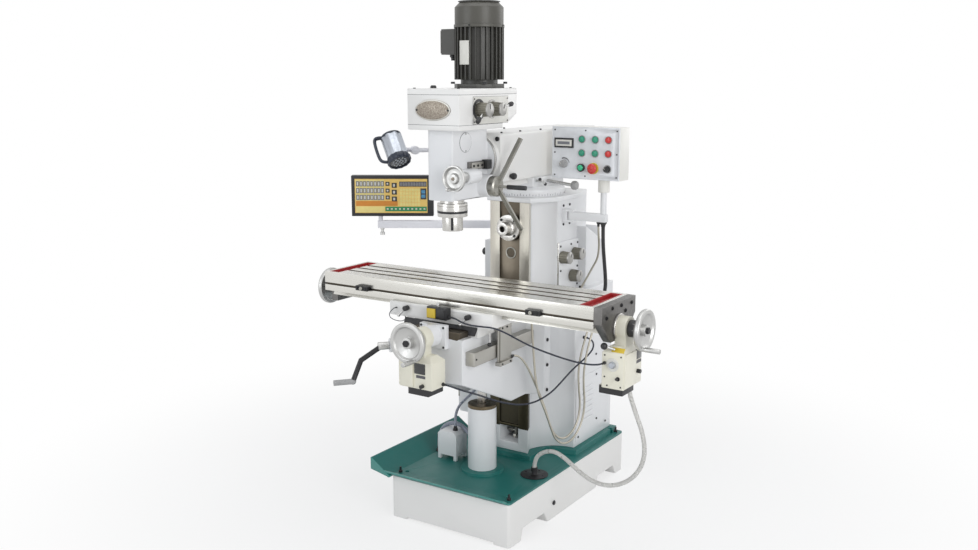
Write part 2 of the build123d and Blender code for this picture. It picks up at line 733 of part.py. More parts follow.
def screw_pedestal():
    bottom = TRAY_TOP + PEDESTAL_STEP
    inner = PEDESTAL_RADIUS - PEDESTAL_WALL
    return [tube(PEDESTAL_RADIUS, inner, (0, PEDESTAL_Y, bottom), (0, PEDESTAL_Y, PEDESTAL_TOP))]


def elevating_nut():
    top = PEDESTAL_TOP + NUT_CAP
    spigot = PEDESTAL_RADIUS - PEDESTAL_WALL - RUN_GAP
    nut = rod(PEDESTAL_RADIUS, (0, PEDESTAL_Y, PEDESTAL_TOP), (0, PEDESTAL_Y, top))
    nut += rod(spigot, (0, PEDESTAL_Y, PEDESTAL_TOP - NUT_SPIGOT), (0, PEDESTAL_Y, PEDESTAL_TOP))
    hole = SCREW_RADIUS + RUN_GAP
    return [nut - rod(hole, (0, PEDESTAL_Y, PEDESTAL_TOP - NUT_SPIGOT), (0, PEDESTAL_Y, top))]


def coolant_pump():
    x0, x1 = PUMP_X - PUMP_WIDTH / 2, PUMP_X + PUMP_WIDTH / 2
    y0, y1 = PUMP_Y - PUMP_DEPTH / 2, PUMP_Y + PUMP_DEPTH / 2
    top = PUMP_BOTTOM + PUMP_HEIGHT
    case = block(x0, x1, y0, y1, PUMP_BOTTOM, top)
    case = chamfer(case.edges().filter_by(Axis.Y).group_by(Axis.Z)[-1], PUMP_LEG)
    for x in (x0 + PUMP_LEG / 2, x1 - PUMP_LEG / 2):
        for y in (y0 + PUMP_LEG / 2, y1 - PUMP_LEG / 2):
            foot = PUMP_LEG / 2
            case += block(x - foot, x + foot, y - foot, y + foot, TRAY_TOP, PUMP_BOTTOM)
    radius = PUMP_WIDTH / 2 + 2 * PUMP_HOSE
    level = top - PUMP_HEIGHT / 2
    behind = y1 + PUMP_HOSE
    arch = ThreePointArc(
        (PUMP_X - radius, behind, level),
        (PUMP_X, behind, level + radius),
        (PUMP_X + radius, behind, level),
    )
    start = Plane(origin=(PUMP_X - radius, behind, level), z_dir=(0, 0, 1))
    hose = sweep(start * Circle(PUMP_HOSE), path=arch)
    for x in (PUMP_X - radius, PUMP_X + radius):
        hose += rod(PUMP_HOSE, (x, behind, TRAY_TOP), (x, behind, level))
    return [case, hose]


# Column


def column_casting():
    root = WAY_FACE + WAY_DEPTH
    valley = root + SLOT_DEPTH
    ways = [(0, WAY_FACE), (WAY_HALF, WAY_FACE), (WAY_ROOT, root), (WAY_ROOT, valley)]

    def section(corner, tail, z0, z1):
        bend = (WAY_ROOT + (corner[0] - WAY_ROOT) * 0.34, valley + (corner[1] - valley) * 0.7)
        outline = Polyline(*[(x, y, z0) for x, y in ways])
        outline += ThreePointArc((*ways[-1], z0), (*bend, z0), (*corner, z0))
        outline += Polyline(*[(x, y, z0) for x, y in [corner, *tail, ways[0]]])
        return both_sides(extrude(make_face(outline), amount=z1 - z0, dir=(0, 0, 1)))

    lower_tail = [(LOWER_HALF, COLUMN_BACK), (0, COLUMN_BACK)]
    upper_tail = [
        (UPPER_HALF, UPPER_SIDE_END),
        (UPPER_REAR_HALF, UPPER_SIDE_END),
        (UPPER_REAR_HALF, UPPER_BACK),
        (0, UPPER_BACK),
    ]
    body = section((LOWER_HALF, LOWER_FRONT), lower_tail, PAD_TOP, LOWER_TOP)
    body += section((UPPER_HALF, UPPER_FRONT), upper_tail, LOWER_TOP, WAY_TOP)
    rear = [
        (REAR_BOX_FRONT, LOWER_TOP),
        (COLUMN_BACK, LOWER_TOP),
        (REAR_BOX_BACK, REAR_BOX_EAVE),
        (REAR_BOX_FRONT, REAR_BOX_TOP),
    ]
    body += prism_x(rear, -REAR_BOX_HALF, REAR_BOX_HALF)
    left = -UPPER_HALF - SIDE_BOX_OUT
    body += block(left, -UPPER_HALF, SIDE_BOX_FRONT, SIDE_BOX_BACK, LOWER_TOP, SIDE_BOX_TOP)
    half = WAY_HALF + TOP_OVERHANG
    wide = UPPER_HALF + TOP_OVERHANG
    plate = [
        (half, WAY_FACE - TOP_OVERHANG),
        (wide, UPPER_FRONT - TOP_OVERHANG),
        (wide, UPPER_SIDE_END),
        (UPPER_REAR_HALF, UPPER_BACK),
    ]
    plate += [(-x, y) for x, y in reversed(plate)]
    body += prism_z(plate, WAY_TOP, COLUMN_TOP)
    slot_floor = WAY_FACE + SLOT_DEPTH
    body -= block(-SLOT_HALF, SLOT_HALF, WAY_FACE, slot_floor, WINDOW_TOP + SLOT_DEPTH, WAY_TOP)
    wall = COLUMN_WALL
    front = LOWER_FRONT + wall / 2
    inside = LOWER_HALF - wall
    shoulder = LOWER_TOP - wall
    body -= block(-inside, inside, front, COLUMN_BACK - wall, PAD_TOP, shoulder)
    middle = UPPER_SIDE_END - wall
    ceiling = WAY_TOP - wall
    inside = UPPER_HALF - wall
    body -= block(-inside, inside, front, middle, shoulder, ceiling)
    inside = UPPER_REAR_HALF - wall
    body -= block(-inside, inside, middle, UPPER_BACK - wall, shoulder, ceiling)
    inside = REAR_BOX_HALF - wall
    body -= block(-inside, inside, REAR_BOX_FRONT + wall, REAR_BOX_BACK - wall, shoulder, REAR_BOX_EAVE)
    body -= block(-WINDOW_HALF, WINDOW_HALF, WAY_FACE, front, WINDOW_BOTTOM, WINDOW_TOP)
    body -= rod(CAP_PILOT, (0, WAY_FACE, ARBOR_Z), (0, WAY_FACE + CAP_DEPTH, ARBOR_Z))
    pivot = TURRET_PIVOT + RUN_GAP
    body -= rod(pivot, (0, TURRET_Y, COLUMN_TOP - PIVOT_DEPTH - SLIDE_GAP), (0, TURRET_Y, COLUMN_TOP))
    return [body]


def bearing_cap():
    front = WAY_FACE - CAP_PLATE
    cap = rod(CAP_RADIUS, (0, front, ARBOR_Z), (0, WAY_FACE, ARBOR_Z))
    cap += rod(CAP_PILOT, (0, WAY_FACE, ARBOR_Z), (0, WAY_FACE + CAP_DEPTH, ARBOR_Z))
    hole = ARBOR_SHAFT + RUN_GAP
    deep = WAY_FACE + CAP_DEPTH - CAP_PLATE
    return [cap - rod(hole, (0, front, ARBOR_Z), (0, deep, ARBOR_Z))]


def horizontal_spindle():
    front = WAY_FACE - CAP_PLATE
    nose = front - ARBOR_REACH
    deep = WAY_FACE + CAP_DEPTH - CAP_PLATE - SLIDE_GAP
    profile = [
        (0, 0),
        (ARBOR_NOSE, 0),
        (ARBOR_NOSE, ARBOR_REACH * 0.7),
        (ARBOR_SHAFT, ARBOR_REACH * 0.8),
        (ARBOR_SHAFT, deep - nose),
        (0, deep - nose),
    ]
    spindle = turned(profile, (0, nose, ARBOR_Z), (0, 1, 0))
    return [spindle - rod(ARBOR_BORE, (0, nose, ARBOR_Z), (0, nose + ARBOR_BORE_DEPTH, ARBOR_Z))]


def selector_plate():
    outer = UPPER_HALF + PLATE_THICK
    plate = block(UPPER_HALF, outer, PLATE_FRONT, PLATE_BACK, PLATE_BOTTOM, PLATE_TOP)
    for y, z in KNOB_PLACES:
        plate -= rod(KNOB_STEM + RUN_GAP, (UPPER_HALF, y, z), (outer, y, z))
    return [plate]


def side_knob(x, y, z, stem, length):
    """A selector knob on a side that faces +X, with its stem in the plate behind it."""
    near = x + SLIDE_GAP
    profile = [
        (0, -stem),
        (KNOB_STEM, -stem),
        (KNOB_STEM, SLIDE_GAP),
        (KNOB_RADIUS, SLIDE_GAP),
        (KNOB_RADIUS, length * 0.62),
        (KNOB_RADIUS * 0.8, length * 0.72),
        (KNOB_RADIUS * 0.8, length),
        (0, length),
    ]
    return [turned(profile, (near - SLIDE_GAP, y, z), (1, 0, 0))]


def side_cover():
    outer = LOWER_HALF + COVER_THICK
    return [block(LOWER_HALF, outer, COVER_FRONT, COVER_BACK, COVER_BOTTOM, COVER_TOP)]


def electrical_cabinet():
    outer = -LOWER_HALF - CABINET_OUT
    case = block(outer, -LOWER_HALF, CABINET_FRONT, CABINET_BACK, CABINET_BOTTOM, CABINET_TOP)
    case = fillet(vertical_edges(case).group_by(Axis.X)[0], BASE_CORNER)
    wall = CABINET_WALL
    y0, y1 = CABINET_FRONT + wall, CABINET_BACK - wall
    return [case - block(outer + wall, -LOWER_HALF, y0, y1, CABINET_BOTTOM + wall, CABINET_TOP - wall)]


# Knee


def knee_casting():
    way_gap = WAY_FACE - SLIDE_GAP
    plan = [
        (0, KNEE_FRONT),
        (KNEE_HALF, KNEE_FRONT),
        (KNEE_HALF, KNEE_FLARE_START),
        (KNEE_REAR_HALF, KNEE_FLARE_END),
        (KNEE_REAR_HALF, KNEE_REAR),
        (WAY_HALF - (WAY_HALF - WAY_ROOT) * (KNEE_REAR - WAY_FACE) / WAY_DEPTH + SLIDE_GAP, KNEE_REAR),
        (WAY_HALF + SLIDE_GAP, way_gap),
        (0, way_gap),
    ]
    side = [
        (KNEE_FRONT, KNEE_DECK),
        (KNEE_FRONT, KNEE_CHIN),
        (KNEE_HEEL, KNEE_FLOOR),
        (KNEE_REAR, KNEE_FLOOR),
        (KNEE_REAR, KNEE_DECK),
    ]
    body = both_sides(prism_z(plan, KNEE_FLOOR, KNEE_DECK))
    body &= prism_x(side, -KNEE_REAR_HALF, KNEE_REAR_HALF)
    inside = KNEE_HALF - KNEE_WALL
    roof = KNEE_DECK - KNEE_ROOF
    hollow = [
        (KNEE_FRONT + KNEE_WALL, roof),
        (KNEE_FRONT + KNEE_WALL, KNEE_FLOOR),
        (way_gap - KNEE_WALL, KNEE_FLOOR),
        (way_gap - KNEE_WALL, roof),
    ]
    body -= prism_x(hollow, -inside, inside)
    way_top = KNEE_DECK + CROSS_WAY_HEIGHT
    dovetail = [
        (-CROSS_WAY_ROOT, KNEE_DECK),
        (-CROSS_WAY_HALF, way_top),
        (CROSS_WAY_HALF, way_top),
        (CROSS_WAY_ROOT, KNEE_DECK),
    ]
    way_end = way_gap - FREE_GAP
    body += prism_y(dovetail, KNEE_FRONT, way_end)
    channel = CROSS_SCREW_Z - CHANNEL_DEPTH
    start = KNEE_FRONT + KNEE_WALL
    body -= block(-CHANNEL_HALF, CHANNEL_HALF, start, way_end - KNEE_WALL, channel, way_top)
    screw = CROSS_SCREW + RUN_GAP
    body -= rod(screw, (0, KNEE_FRONT, CROSS_SCREW_Z), (0, start, CROSS_SCREW_Z))
    body += crank_place() * rod(CRANK_BOSS, (0, -CRANK_BOSS_LENGTH, 0), (0, 2.5 * KNEE_WALL, 0))
    bore = rod(CRANK_SHAFT + RUN_GAP, (0, -CRANK_BOSS_LENGTH, 0), (0, 2 * KNEE_WALL, 0))
    body -= crank_place() * bore
    pocket = (0, PEDESTAL_Y, SCREW_TOP)
    body -= rod(SCREW_RADIUS + RUN_GAP, pocket, (0, PEDESTAL_Y, SCREW_TOP + KNEE_ROOF / 2))
    return [body]


def elevating_screw():
    top = SCREW_TOP + KNEE_ROOF / 2 - SLIDE_GAP
    screw = rod(SCREW_RADIUS, (0, PEDESTAL_Y, SCREW_BOTTOM), (0, PEDESTAL_Y, top))
    collar_top = SCREW_TOP - SLIDE_GAP
    collar = collar_top - KNEE_ROOF / 2
    return [screw + rod(SCREW_COLLAR, (0, PEDESTAL_Y, collar), (0, PEDESTAL_Y, collar_top))]


def crank_place():
    """The crank is drawn with its axis along -Y from the knee, then turned."""
    return Pos(CRANK_X, KNEE_FRONT, CRANK_Z) * Rot(0, 0, -CRANK_TURN)


def crank_handle():
    deep = 2 * KNEE_WALL - SLIDE_GAP
    near = -CRANK_BOSS_LENGTH - SLIDE_GAP
    far = near - CRANK_SOCKET_LENGTH
    hub = (0, far + CRANK_SOCKET, 0)
    knee = tuple(a + b for a, b in zip(hub, CRANK_RISE))
    end = tuple(a + b for a, b in zip(knee, CRANK_DROP))
    handle = rod(CRANK_SHAFT, (0, near, 0), (0, deep, 0))
    handle += rod(CRANK_SOCKET, (0, far, 0), (0, near, 0))
    handle += rod(CRANK_ARM, hub, knee)
    handle += Pos(*knee) * Sphere(CRANK_ARM)
    handle += rod(CRANK_ARM, knee, end)
    handle += Pos(*end) * Sphere(CRANK_ARM * 1.25)
    tip = (end[0], end[1] - CRANK_GRIP_LENGTH, end[2])
    return [crank_place() * (handle + rod(CRANK_GRIP, end, tip))]


# Saddle


def saddle_casting():
    top = SADDLE_TOP
    outline = [
        (SADDLE_LEFT, top),
        (SADDLE_RIGHT, top),
        (SADDLE_RIGHT, SADDLE_SHOULDER),
        (SADDLE_LOWER_HALF, SADDLE_SHOULDER),
        (SADDLE_LOWER_HALF, SADDLE_BOTTOM),
        (-SADDLE_LOWER_HALF, SADDLE_BOTTOM),
        (-SADDLE_LOWER_HALF, SADDLE_SHOULDER),
        (SADDLE_LEFT, SADDLE_SHOULDER),
    ]
    body = prism_y(outline, SADDLE_FRONT, SADDLE_BACK)
    roof = KNEE_DECK + CROSS_WAY_HEIGHT + SLIDE_GAP
    under = [
        (-CROSS_WAY_ROOT - SLIDE_GAP, SADDLE_BOTTOM),
        (-CROSS_WAY_HALF - SLIDE_GAP, roof),
        (CROSS_WAY_HALF + SLIDE_GAP, roof),
        (CROSS_WAY_ROOT + SLIDE_GAP, SADDLE_BOTTOM),
    ]
    body -= prism_y(under, SADDLE_FRONT, SADDLE_BACK)
    floor = TABLE_BOTTOM - TABLE_WAY_HEIGHT - SLIDE_GAP
    over = [
        (TABLE_Y - TABLE_WAY_ROOT - SLIDE_GAP, top),
        (TABLE_Y - TABLE_WAY_HALF - SLIDE_GAP, floor),
        (TABLE_Y + TABLE_WAY_HALF + SLIDE_GAP, floor),
        (TABLE_Y + TABLE_WAY_ROOT + SLIDE_GAP, top),
    ]
    body -= prism_x(over, SADDLE_LEFT, SADDLE_RIGHT)
    nut_half = CHANNEL_HALF - FREE_GAP
    nut_length = CHANNEL_HALF
    low = CROSS_SCREW_Z - CHANNEL_DEPTH + FREE_GAP
    body += block(-nut_half, nut_half, TABLE_Y - nut_length, TABLE_Y + nut_length, low, roof)
    hole = CROSS_SCREW + RUN_GAP
    start, end = TABLE_Y - nut_length, TABLE_Y + nut_length
    body -= rod(hole, (0, start, CROSS_SCREW_Z), (0, end, CROSS_SCREW_Z))
    high = LONG_SCREW_Z + 2 * LONG_SCREW - FREE_GAP
    half = 2 * LONG_SCREW - FREE_GAP
    body += block(-nut_length, nut_length, TABLE_Y - half, TABLE_Y + half, floor, high)
    hole = LONG_SCREW + RUN_GAP
    body -= rod(hole, (-nut_length, TABLE_Y, LONG_SCREW_Z), (nut_length, TABLE_Y, LONG_SCREW_Z))
    for x in LOCK_PLACES:
        deep = SADDLE_FRONT + LOCK_REACH
        body -= rod(LOCK_STEM + RUN_GAP, (x, SADDLE_FRONT, LOCK_Z), (x, deep, LOCK_Z))
    return [body]


def cross_scale():
    """The measuring scale along the right side of the knee."""
    outer = KNEE_HALF + SCALE_OUT
    back = KNEE_FLARE_START - FREE_GAP
    return [block(KNEE_HALF, outer, SCALE_FRONT, back, SCALE_BOTTOM, SCALE_TOP)]


def scale_reader():
    """The bracket that hangs from the saddle and reads the cross scale."""
    near = KNEE_HALF + SCALE_OUT + FREE_GAP
    plate = block(near, near + READER_SHEET, READER_FRONT, READER_BACK, READER_BOTTOM, SADDLE_SHOULDER)
    low = SCALE_TOP + KNEE_ROOF
    return [plate + block(SADDLE_LOWER_HALF, near, READER_FRONT, READER_BACK, low, SADDLE_SHOULDER)]


def limit_switch():
    front = SADDLE_FRONT - SWITCH_OUT
    case = block(SWITCH_LEFT, SWITCH_RIGHT, front, SADDLE_FRONT, SWITCH_BOTTOM, SWITCH_TOP)
    return [case]


def way_cover():
    top = SADDLE_SHOULDER
    outline = [
        (SADDLE_FRONT, top),
        (SADDLE_FRONT, top - APRON_SHEET),
        (SADDLE_FRONT - APRON_OUT + APRON_SHEET, APRON_BOTTOM),
        (SADDLE_FRONT - APRON_OUT, APRON_BOTTOM),
        (SADDLE_FRONT - APRON_OUT / 2, top),
    ]
    apron = prism_x(outline, APRON_LEFT, APRON_RIGHT)
    half = CROSS_WAY_HALF + FREE_GAP
    clear = KNEE_DECK + CROSS_WAY_HEIGHT + FREE_GAP
    return [apron - block(-half, half, SADDLE_FRONT - APRON_OUT, SADDLE_FRONT, APRON_BOTTOM, clear)]


def table_lock(x):
    near = SADDLE_FRONT - SLIDE_GAP
    deep = SADDLE_FRONT + LOCK_REACH - SLIDE_GAP
    lever = rod(LOCK_STEM, (x, near, LOCK_Z), (x, deep, LOCK_Z))
    lever += rod(1.5 * LOCK_STEM, (x, near - 3 * LOCK_STEM, LOCK_Z), (x, near, LOCK_Z))
    hub = Vector(x, near - 2 * LOCK_STEM, LOCK_Z)
    run = Vector(-0.7 * LOCK_REACH, -LOCK_STEM, -0.7 * LOCK_REACH)
    lever += rod(0.6 * LOCK_STEM, hub, hub + run)
    return [lever + Plane(origin=hub + run, z_dir=run) * Sphere(LOCK_STEM)]


# Table


def table_casting():
    end, half = TABLE_END, TABLE_WIDTH / 2
    body = block(-end, end, TABLE_Y - half, TABLE_Y + half, TABLE_BOTTOM, TABLE_TOP)
    bottom = TABLE_BOTTOM - TABLE_WAY_HEIGHT
    way = [
        (TABLE_Y - TABLE_WAY_ROOT, TABLE_BOTTOM),
        (TABLE_Y - TABLE_WAY_HALF, bottom),
        (TABLE_Y + TABLE_WAY_HALF, bottom),
        (TABLE_Y + TABLE_WAY_ROOT, TABLE_BOTTOM),
    ]
    body += prism_x(way, -end, end)
    channel = 2 * LONG_SCREW
    high = LONG_SCREW_Z + channel
    body -= block(-end, end, TABLE_Y - channel, TABLE_Y + channel, bottom, high)
    slot_end = end - TROUGH_WALL - TROUGH_LENGTH
    for step in (-1, 0, 1):
        y = TABLE_Y + step * SLOT_PITCH
        neck = TABLE_TOP - SLOT_NECK_DEPTH
        head = neck - SLOT_HEAD_DEPTH
        body -= block(-slot_end, slot_end, y - SLOT_NECK / 2, y + SLOT_NECK / 2, neck, TABLE_TOP)
        body -= block(-slot_end, slot_end, y - SLOT_HEAD / 2, y + SLOT_HEAD / 2, head, neck)
    floor = TABLE_TOP - SLOT_NECK_DEPTH - SLOT_HEAD_DEPTH
    y0, y1 = TABLE_Y - half + TROUGH_WALL, TABLE_Y + half - TROUGH_WALL
    body -= block(slot_end, end - TROUGH_WALL, y0, y1, floor, TABLE_TOP)
    body -= block(-end + TROUGH_WALL, -slot_end, y0, y1, floor, TABLE_TOP)
    low, top = GROOVE_Z - GROOVE_HEIGHT / 2, GROOVE_Z + GROOVE_HEIGHT / 2
    body -= block(-end, end, TABLE_FRONT, TABLE_FRONT + GROOVE_DEPTH, low, top)
    return [body]


def trough_trays():
    """The red chip trays that sit in the troughs at both ends of the table."""
    end, half = TABLE_END, TABLE_WIDTH / 2
    slot_end = end - TROUGH_WALL - TROUGH_LENGTH
    floor = TABLE_TOP - SLOT_NECK_DEPTH - SLOT_HEAD_DEPTH
    y0 = TABLE_Y - half + TROUGH_WALL + SLIDE_GAP
    y1 = TABLE_Y + half - TROUGH_WALL - SLIDE_GAP
    near, far = slot_end + SLIDE_GAP, end - TROUGH_WALL - SLIDE_GAP
    tray = block(near, far, y0, y1, floor, TABLE_TOP)
    wall = TRAY_SHEET
    tray -= block(near + wall, far - wall, y0 + wall, y1 - wall, TABLE_TOP - TROUGH_DEPTH, TABLE_TOP)
    return [tray, mirror(tray, about=Plane.YZ)]


def end_bracket(outline):
    bracket = prism_x(outline, TABLE_END, BRACKET_FACE)
    hole = LONG_SCREW + RUN_GAP
    return bracket - rod(hole, (TABLE_END, TABLE_Y, LONG_SCREW_Z), (BRACKET_FACE, TABLE_Y, LONG_SCREW_Z))


def table_end_brackets():
    half = TABLE_WIDTH / 2
    low = LONG_SCREW_Z - BRACKET_HANG
    right = end_bracket([
        (TABLE_Y - half, TABLE_TOP),
        (TABLE_Y - half, BRACKET_EAR_Z),
        (TABLE_Y - BRACKET_HANG_HALF, low),
        (TABLE_Y + BRACKET_HANG_HALF, low),
        (TABLE_Y + half, BRACKET_EAR_Z),
        (TABLE_Y + half, TABLE_TOP),
    ])
    top = TABLE_TOP - LEFT_BRACKET_DROP
    left = end_bracket([
        (TABLE_Y - BRACKET_HANG_HALF, top),
        (TABLE_Y - BRACKET_HANG_HALF, low),
        (TABLE_Y + BRACKET_HANG_HALF, low),
        (TABLE_Y + BRACKET_HANG_HALF, top),
    ])
    left = mirror(left, about=Plane.YZ)
    x, y, z = DRAIN_ROUTE[0]
    right += rod(DRAIN_HOSE, (x, y, z), (x, y, BRACKET_EAR_Z))
    face = -BRACKET_FACE
    hub_end = face - LEFT_HUB
    hub = rod(FEED_DIAL, (hub_end, TABLE_Y, LONG_SCREW_Z), (face, TABLE_Y, LONG_SCREW_Z))
    hole = LONG_SCREW + RUN_GAP
    hub -= rod(hole, (hub_end, TABLE_Y, LONG_SCREW_Z), (face, TABLE_Y, LONG_SCREW_Z))
    return [right, left + hub]


def wheel(centre, direction, angle, radius, grip_length):
    """A dished hand wheel that opens along direction, with a turning grip near its rim."""
    depth = WHEEL_HUB + WHEEL_WEB
    rim = radius - WHEEL_RIM
    web = WHEEL_WEB
    profile = [
        (0, 0),
        (WHEEL_HUB * 1.1, 0),
        (rim, depth / 2),
        (rim, depth / 2 - web),
        (radius - web / 2, depth / 2 - web),
        (radius, depth / 2),
        (radius, depth - web / 2),
        (radius - web / 2, depth),
        (rim, depth),
        (rim - web, depth / 2 + web),
        (WHEEL_HUB, web * 1.5),
        (WHEEL_HUB, depth),
        (0, depth),
    ]
    along = Vector(*direction)
    up = Vector(0, 0, 1)
    side = along.cross(up)
    reach = radius - WHEEL_RIM / 2
    turn = math.radians(angle)
    foot = Vector(*centre) + (side * math.cos(turn) + up * math.sin(turn)) * reach + along * depth * 0.8
    tip = foot + along * grip_length
    body = turned(profile, centre, direction)
    body += rod(WHEEL_GRIP * 0.7, foot, (foot + along * depth))
    grip_start = foot + along * (WHEEL_GRIP + depth * 0.2)
    return body + rod(WHEEL_GRIP, grip_start, tip)


def table_handwheels():
    right = BRACKET_FACE + WHEEL_PLACE
    left = -BRACKET_FACE - LEFT_HUB - SLIDE_GAP
    screw = rod(LONG_SCREW, (left, TABLE_Y, LONG_SCREW_Z), (right, TABLE_Y, LONG_SCREW_Z))
    screw += wheel((right, TABLE_Y, LONG_SCREW_Z), (1, 0, 0), RIGHT_GRIP, WHEEL_RADIUS, WHEEL_GRIP_LENGTH)
    screw += wheel((left, TABLE_Y, LONG_SCREW_Z), (-1, 0, 0), LEFT_GRIP, WHEEL_RADIUS, WHEEL_GRIP_LENGTH)
    return [screw]


def table_stop(x):
    half = STOP_LENGTH / 2
    front = TABLE_FRONT - STOP_OUT
    near = TABLE_FRONT - SLIDE_GAP
    low = GROOVE_Z - STOP_HEIGHT / 2 + GROOVE_HEIGHT / 4
    stop = block(x - half, x + half, front, near, low, low + STOP_HEIGHT)
    tongue = GROOVE_HEIGHT / 2 - SLIDE_GAP
    deep = TABLE_FRONT + GROOVE_DEPTH - SLIDE_GAP
    return [stop + block(x - half, x + half, near, deep, GROOVE_Z - tongue, GROOVE_Z + tongue)]


def feed_unit(height, shaft):
    """A power feed with its screw along +X from the origin, its box hanging below."""
    neck = rod(FEED_NECK, (0, 0, 0), (FEED_NECK_LENGTH, 0, 0))
    top, low = -FEED_DROP, -FEED_DROP - height
    case = block(-FEED_BEHIND, FEED_BOX_END, -FEED_HALF, FEED_HALF, low, top)
    case = chamfer(case.edges().group_by(Axis.Z)[-1], FEED_CHAMFER)
    stalk = FEED_NECK * 0.75
    case += block(0, FEED_NECK_LENGTH, -stalk, stalk, top - FEED_CHAMFER, 0)
    case += neck
    dial_end = FEED_NECK_LENGTH + FEED_DIAL_LENGTH
    dial = rod(FEED_DIAL, (FEED_NECK_LENGTH, 0, 0), (dial_end, 0, 0))
    hole = rod(shaft + RUN_GAP, (0, 0, 0), (dial_end, 0, 0))
    base_end = FEED_BASE_SIDE - FEED_BASE_BEHIND
    base_half = FEED_BASE_SIDE / 2
    base = block(-FEED_BASE_BEHIND, base_end, -base_half, base_half, low - FEED_BASE, low)
    return [case - hole, dial - hole, base]


def long_feed_unit():
    place = Pos(BRACKET_FACE, TABLE_Y, LONG_SCREW_Z)
    return [place * solid for solid in feed_unit(LONG_FEED_HEIGHT, LONG_SCREW)]


def cross_feed_unit():
    place = Pos(0, CROSS_FEED_ORIGIN, CROSS_SCREW_Z) * Rot(0, 0, -90)
    unit = [place * solid for solid in feed_unit(CROSS_FEED_HEIGHT, CROSS_SCREW)]
    flange_end = KNEE_FRONT - CROSS_FLANGE
    half = CROSS_FLANGE_HALF
    flange = block(-half, half, flange_end, KNEE_FRONT, CROSS_FLANGE_BOTTOM, CROSS_FLANGE_TOP)
    flange += rod(FEED_NECK, (0, CROSS_FEED_ORIGIN, CROSS_SCREW_Z), (0, flange_end, CROSS_SCREW_Z))
    hole = CROSS_SCREW + RUN_GAP
    flange -= rod(hole, (0, CROSS_FEED_ORIGIN, CROSS_SCREW_Z), (0, KNEE_FRONT, CROSS_SCREW_Z))
    return [*unit, flange]


def cross_handwheel():
    centre = (0, CROSS_FEED_ORIGIN - WHEEL_PLACE, CROSS_SCREW_Z)
    end = WAY_FACE - SLIDE_GAP - FREE_GAP - 2 * KNEE_WALL
    screw = rod(CROSS_SCREW, centre, (0, end, CROSS_SCREW_Z))
    return [screw + wheel(centre, (0, -1, 0), CROSS_GRIP, WHEEL_RADIUS, WHEEL_GRIP_LENGTH)]


# Turret, ram and head


def turret_base():
    disc = rod(TURRET_RADIUS, (0, TURRET_Y, TURRET_BOTTOM), (0, TURRET_Y, TURRET_TOP))
    disc = chamfer(disc.edges().group_by(Axis.Z)[-1], TURRET_DISC / 3)
    depth = COLUMN_TOP - PIVOT_DEPTH
    disc += rod(TURRET_PIVOT, (0, TURRET_Y, depth), (0, TURRET_Y, TURRET_BOTTOM))
    half = TURRET_BLOCK_HALF
    body = disc + block(-half, half, TURRET_BLOCK_FRONT, TURRET_BLOCK_BACK, TURRET_TOP, BLOCK_TOP)
    floor = RAM_BOTTOM - TONGUE_HEIGHT - SLIDE_GAP
    slot = [
        (-TONGUE_ROOT - SLIDE_GAP, BLOCK_TOP),
        (-TONGUE_HALF - SLIDE_GAP, floor),
        (TONGUE_HALF + SLIDE_GAP, floor),
        (TONGUE_ROOT + SLIDE_GAP, BLOCK_TOP),
    ]
    return [body - prism_y(slot, TURRET_BLOCK_FRONT, TURRET_BLOCK_BACK)]


def ram():
    body = block(-RAM_HALF, RAM_HALF, RAM_FRONT, RAM_BACK, RAM_BOTTOM, RAM_TOP)
    body = chamfer(body.edges().filter_by(Axis.Y), BASE_CORNER / 2)
    tongue = [
        (-TONGUE_ROOT, RAM_BOTTOM),
        (-TONGUE_HALF, RAM_BOTTOM - TONGUE_HEIGHT),
        (TONGUE_HALF, RAM_BOTTOM - TONGUE_HEIGHT),
        (TONGUE_ROOT, RAM_BOTTOM),
    ]
    body += prism_y(tongue, RAM_FRONT + 2 * RAM_WALL, RAM_BACK)
    inside = RAM_HALF - RAM_WALL
    low, high = RAM_BOTTOM + RAM_WALL, RAM_TOP - RAM_WALL
    body -= block(-inside, inside, RAM_FRONT + 2 * RAM_WALL, RAM_BACK, low, high)
    front = RAM_FRONT - TILT_DISC_THICK
    body += rod(TILT_DISC, (0, front, TILT_Z), (0, RAM_FRONT, TILT_Z))
    socket = TILT_SPIGOT + RUN_GAP
    deep = front + TILT_SPIGOT_LENGTH + SLIDE_GAP
    body -= rod(socket, (0, front, TILT_Z), (0, deep, TILT_Z))
    lamp = (LAMP_BASE_X, LAMP_BASE_Y)
    foot = 1.5 * LAMP_JOINT
    body += block(LAMP_BASE_X - foot, -RAM_HALF, LAMP_BASE_Y - foot, LAMP_BASE_Y + foot,
                  LAMP_Z - 2 * LAMP_JOINT, LAMP_Z - LAMP_JOINT)
    body -= rod(LAMP_ARM + RUN_GAP, (*lamp, LAMP_Z - 2 * LAMP_JOINT), (*lamp, LAMP_Z - LAMP_JOINT))
    cover = block(-RAM_HALF, RAM_HALF, RAM_BACK, RAM_BACK + RAM_COVER, RAM_BOTTOM, RAM_TOP)
    return [body, cover]


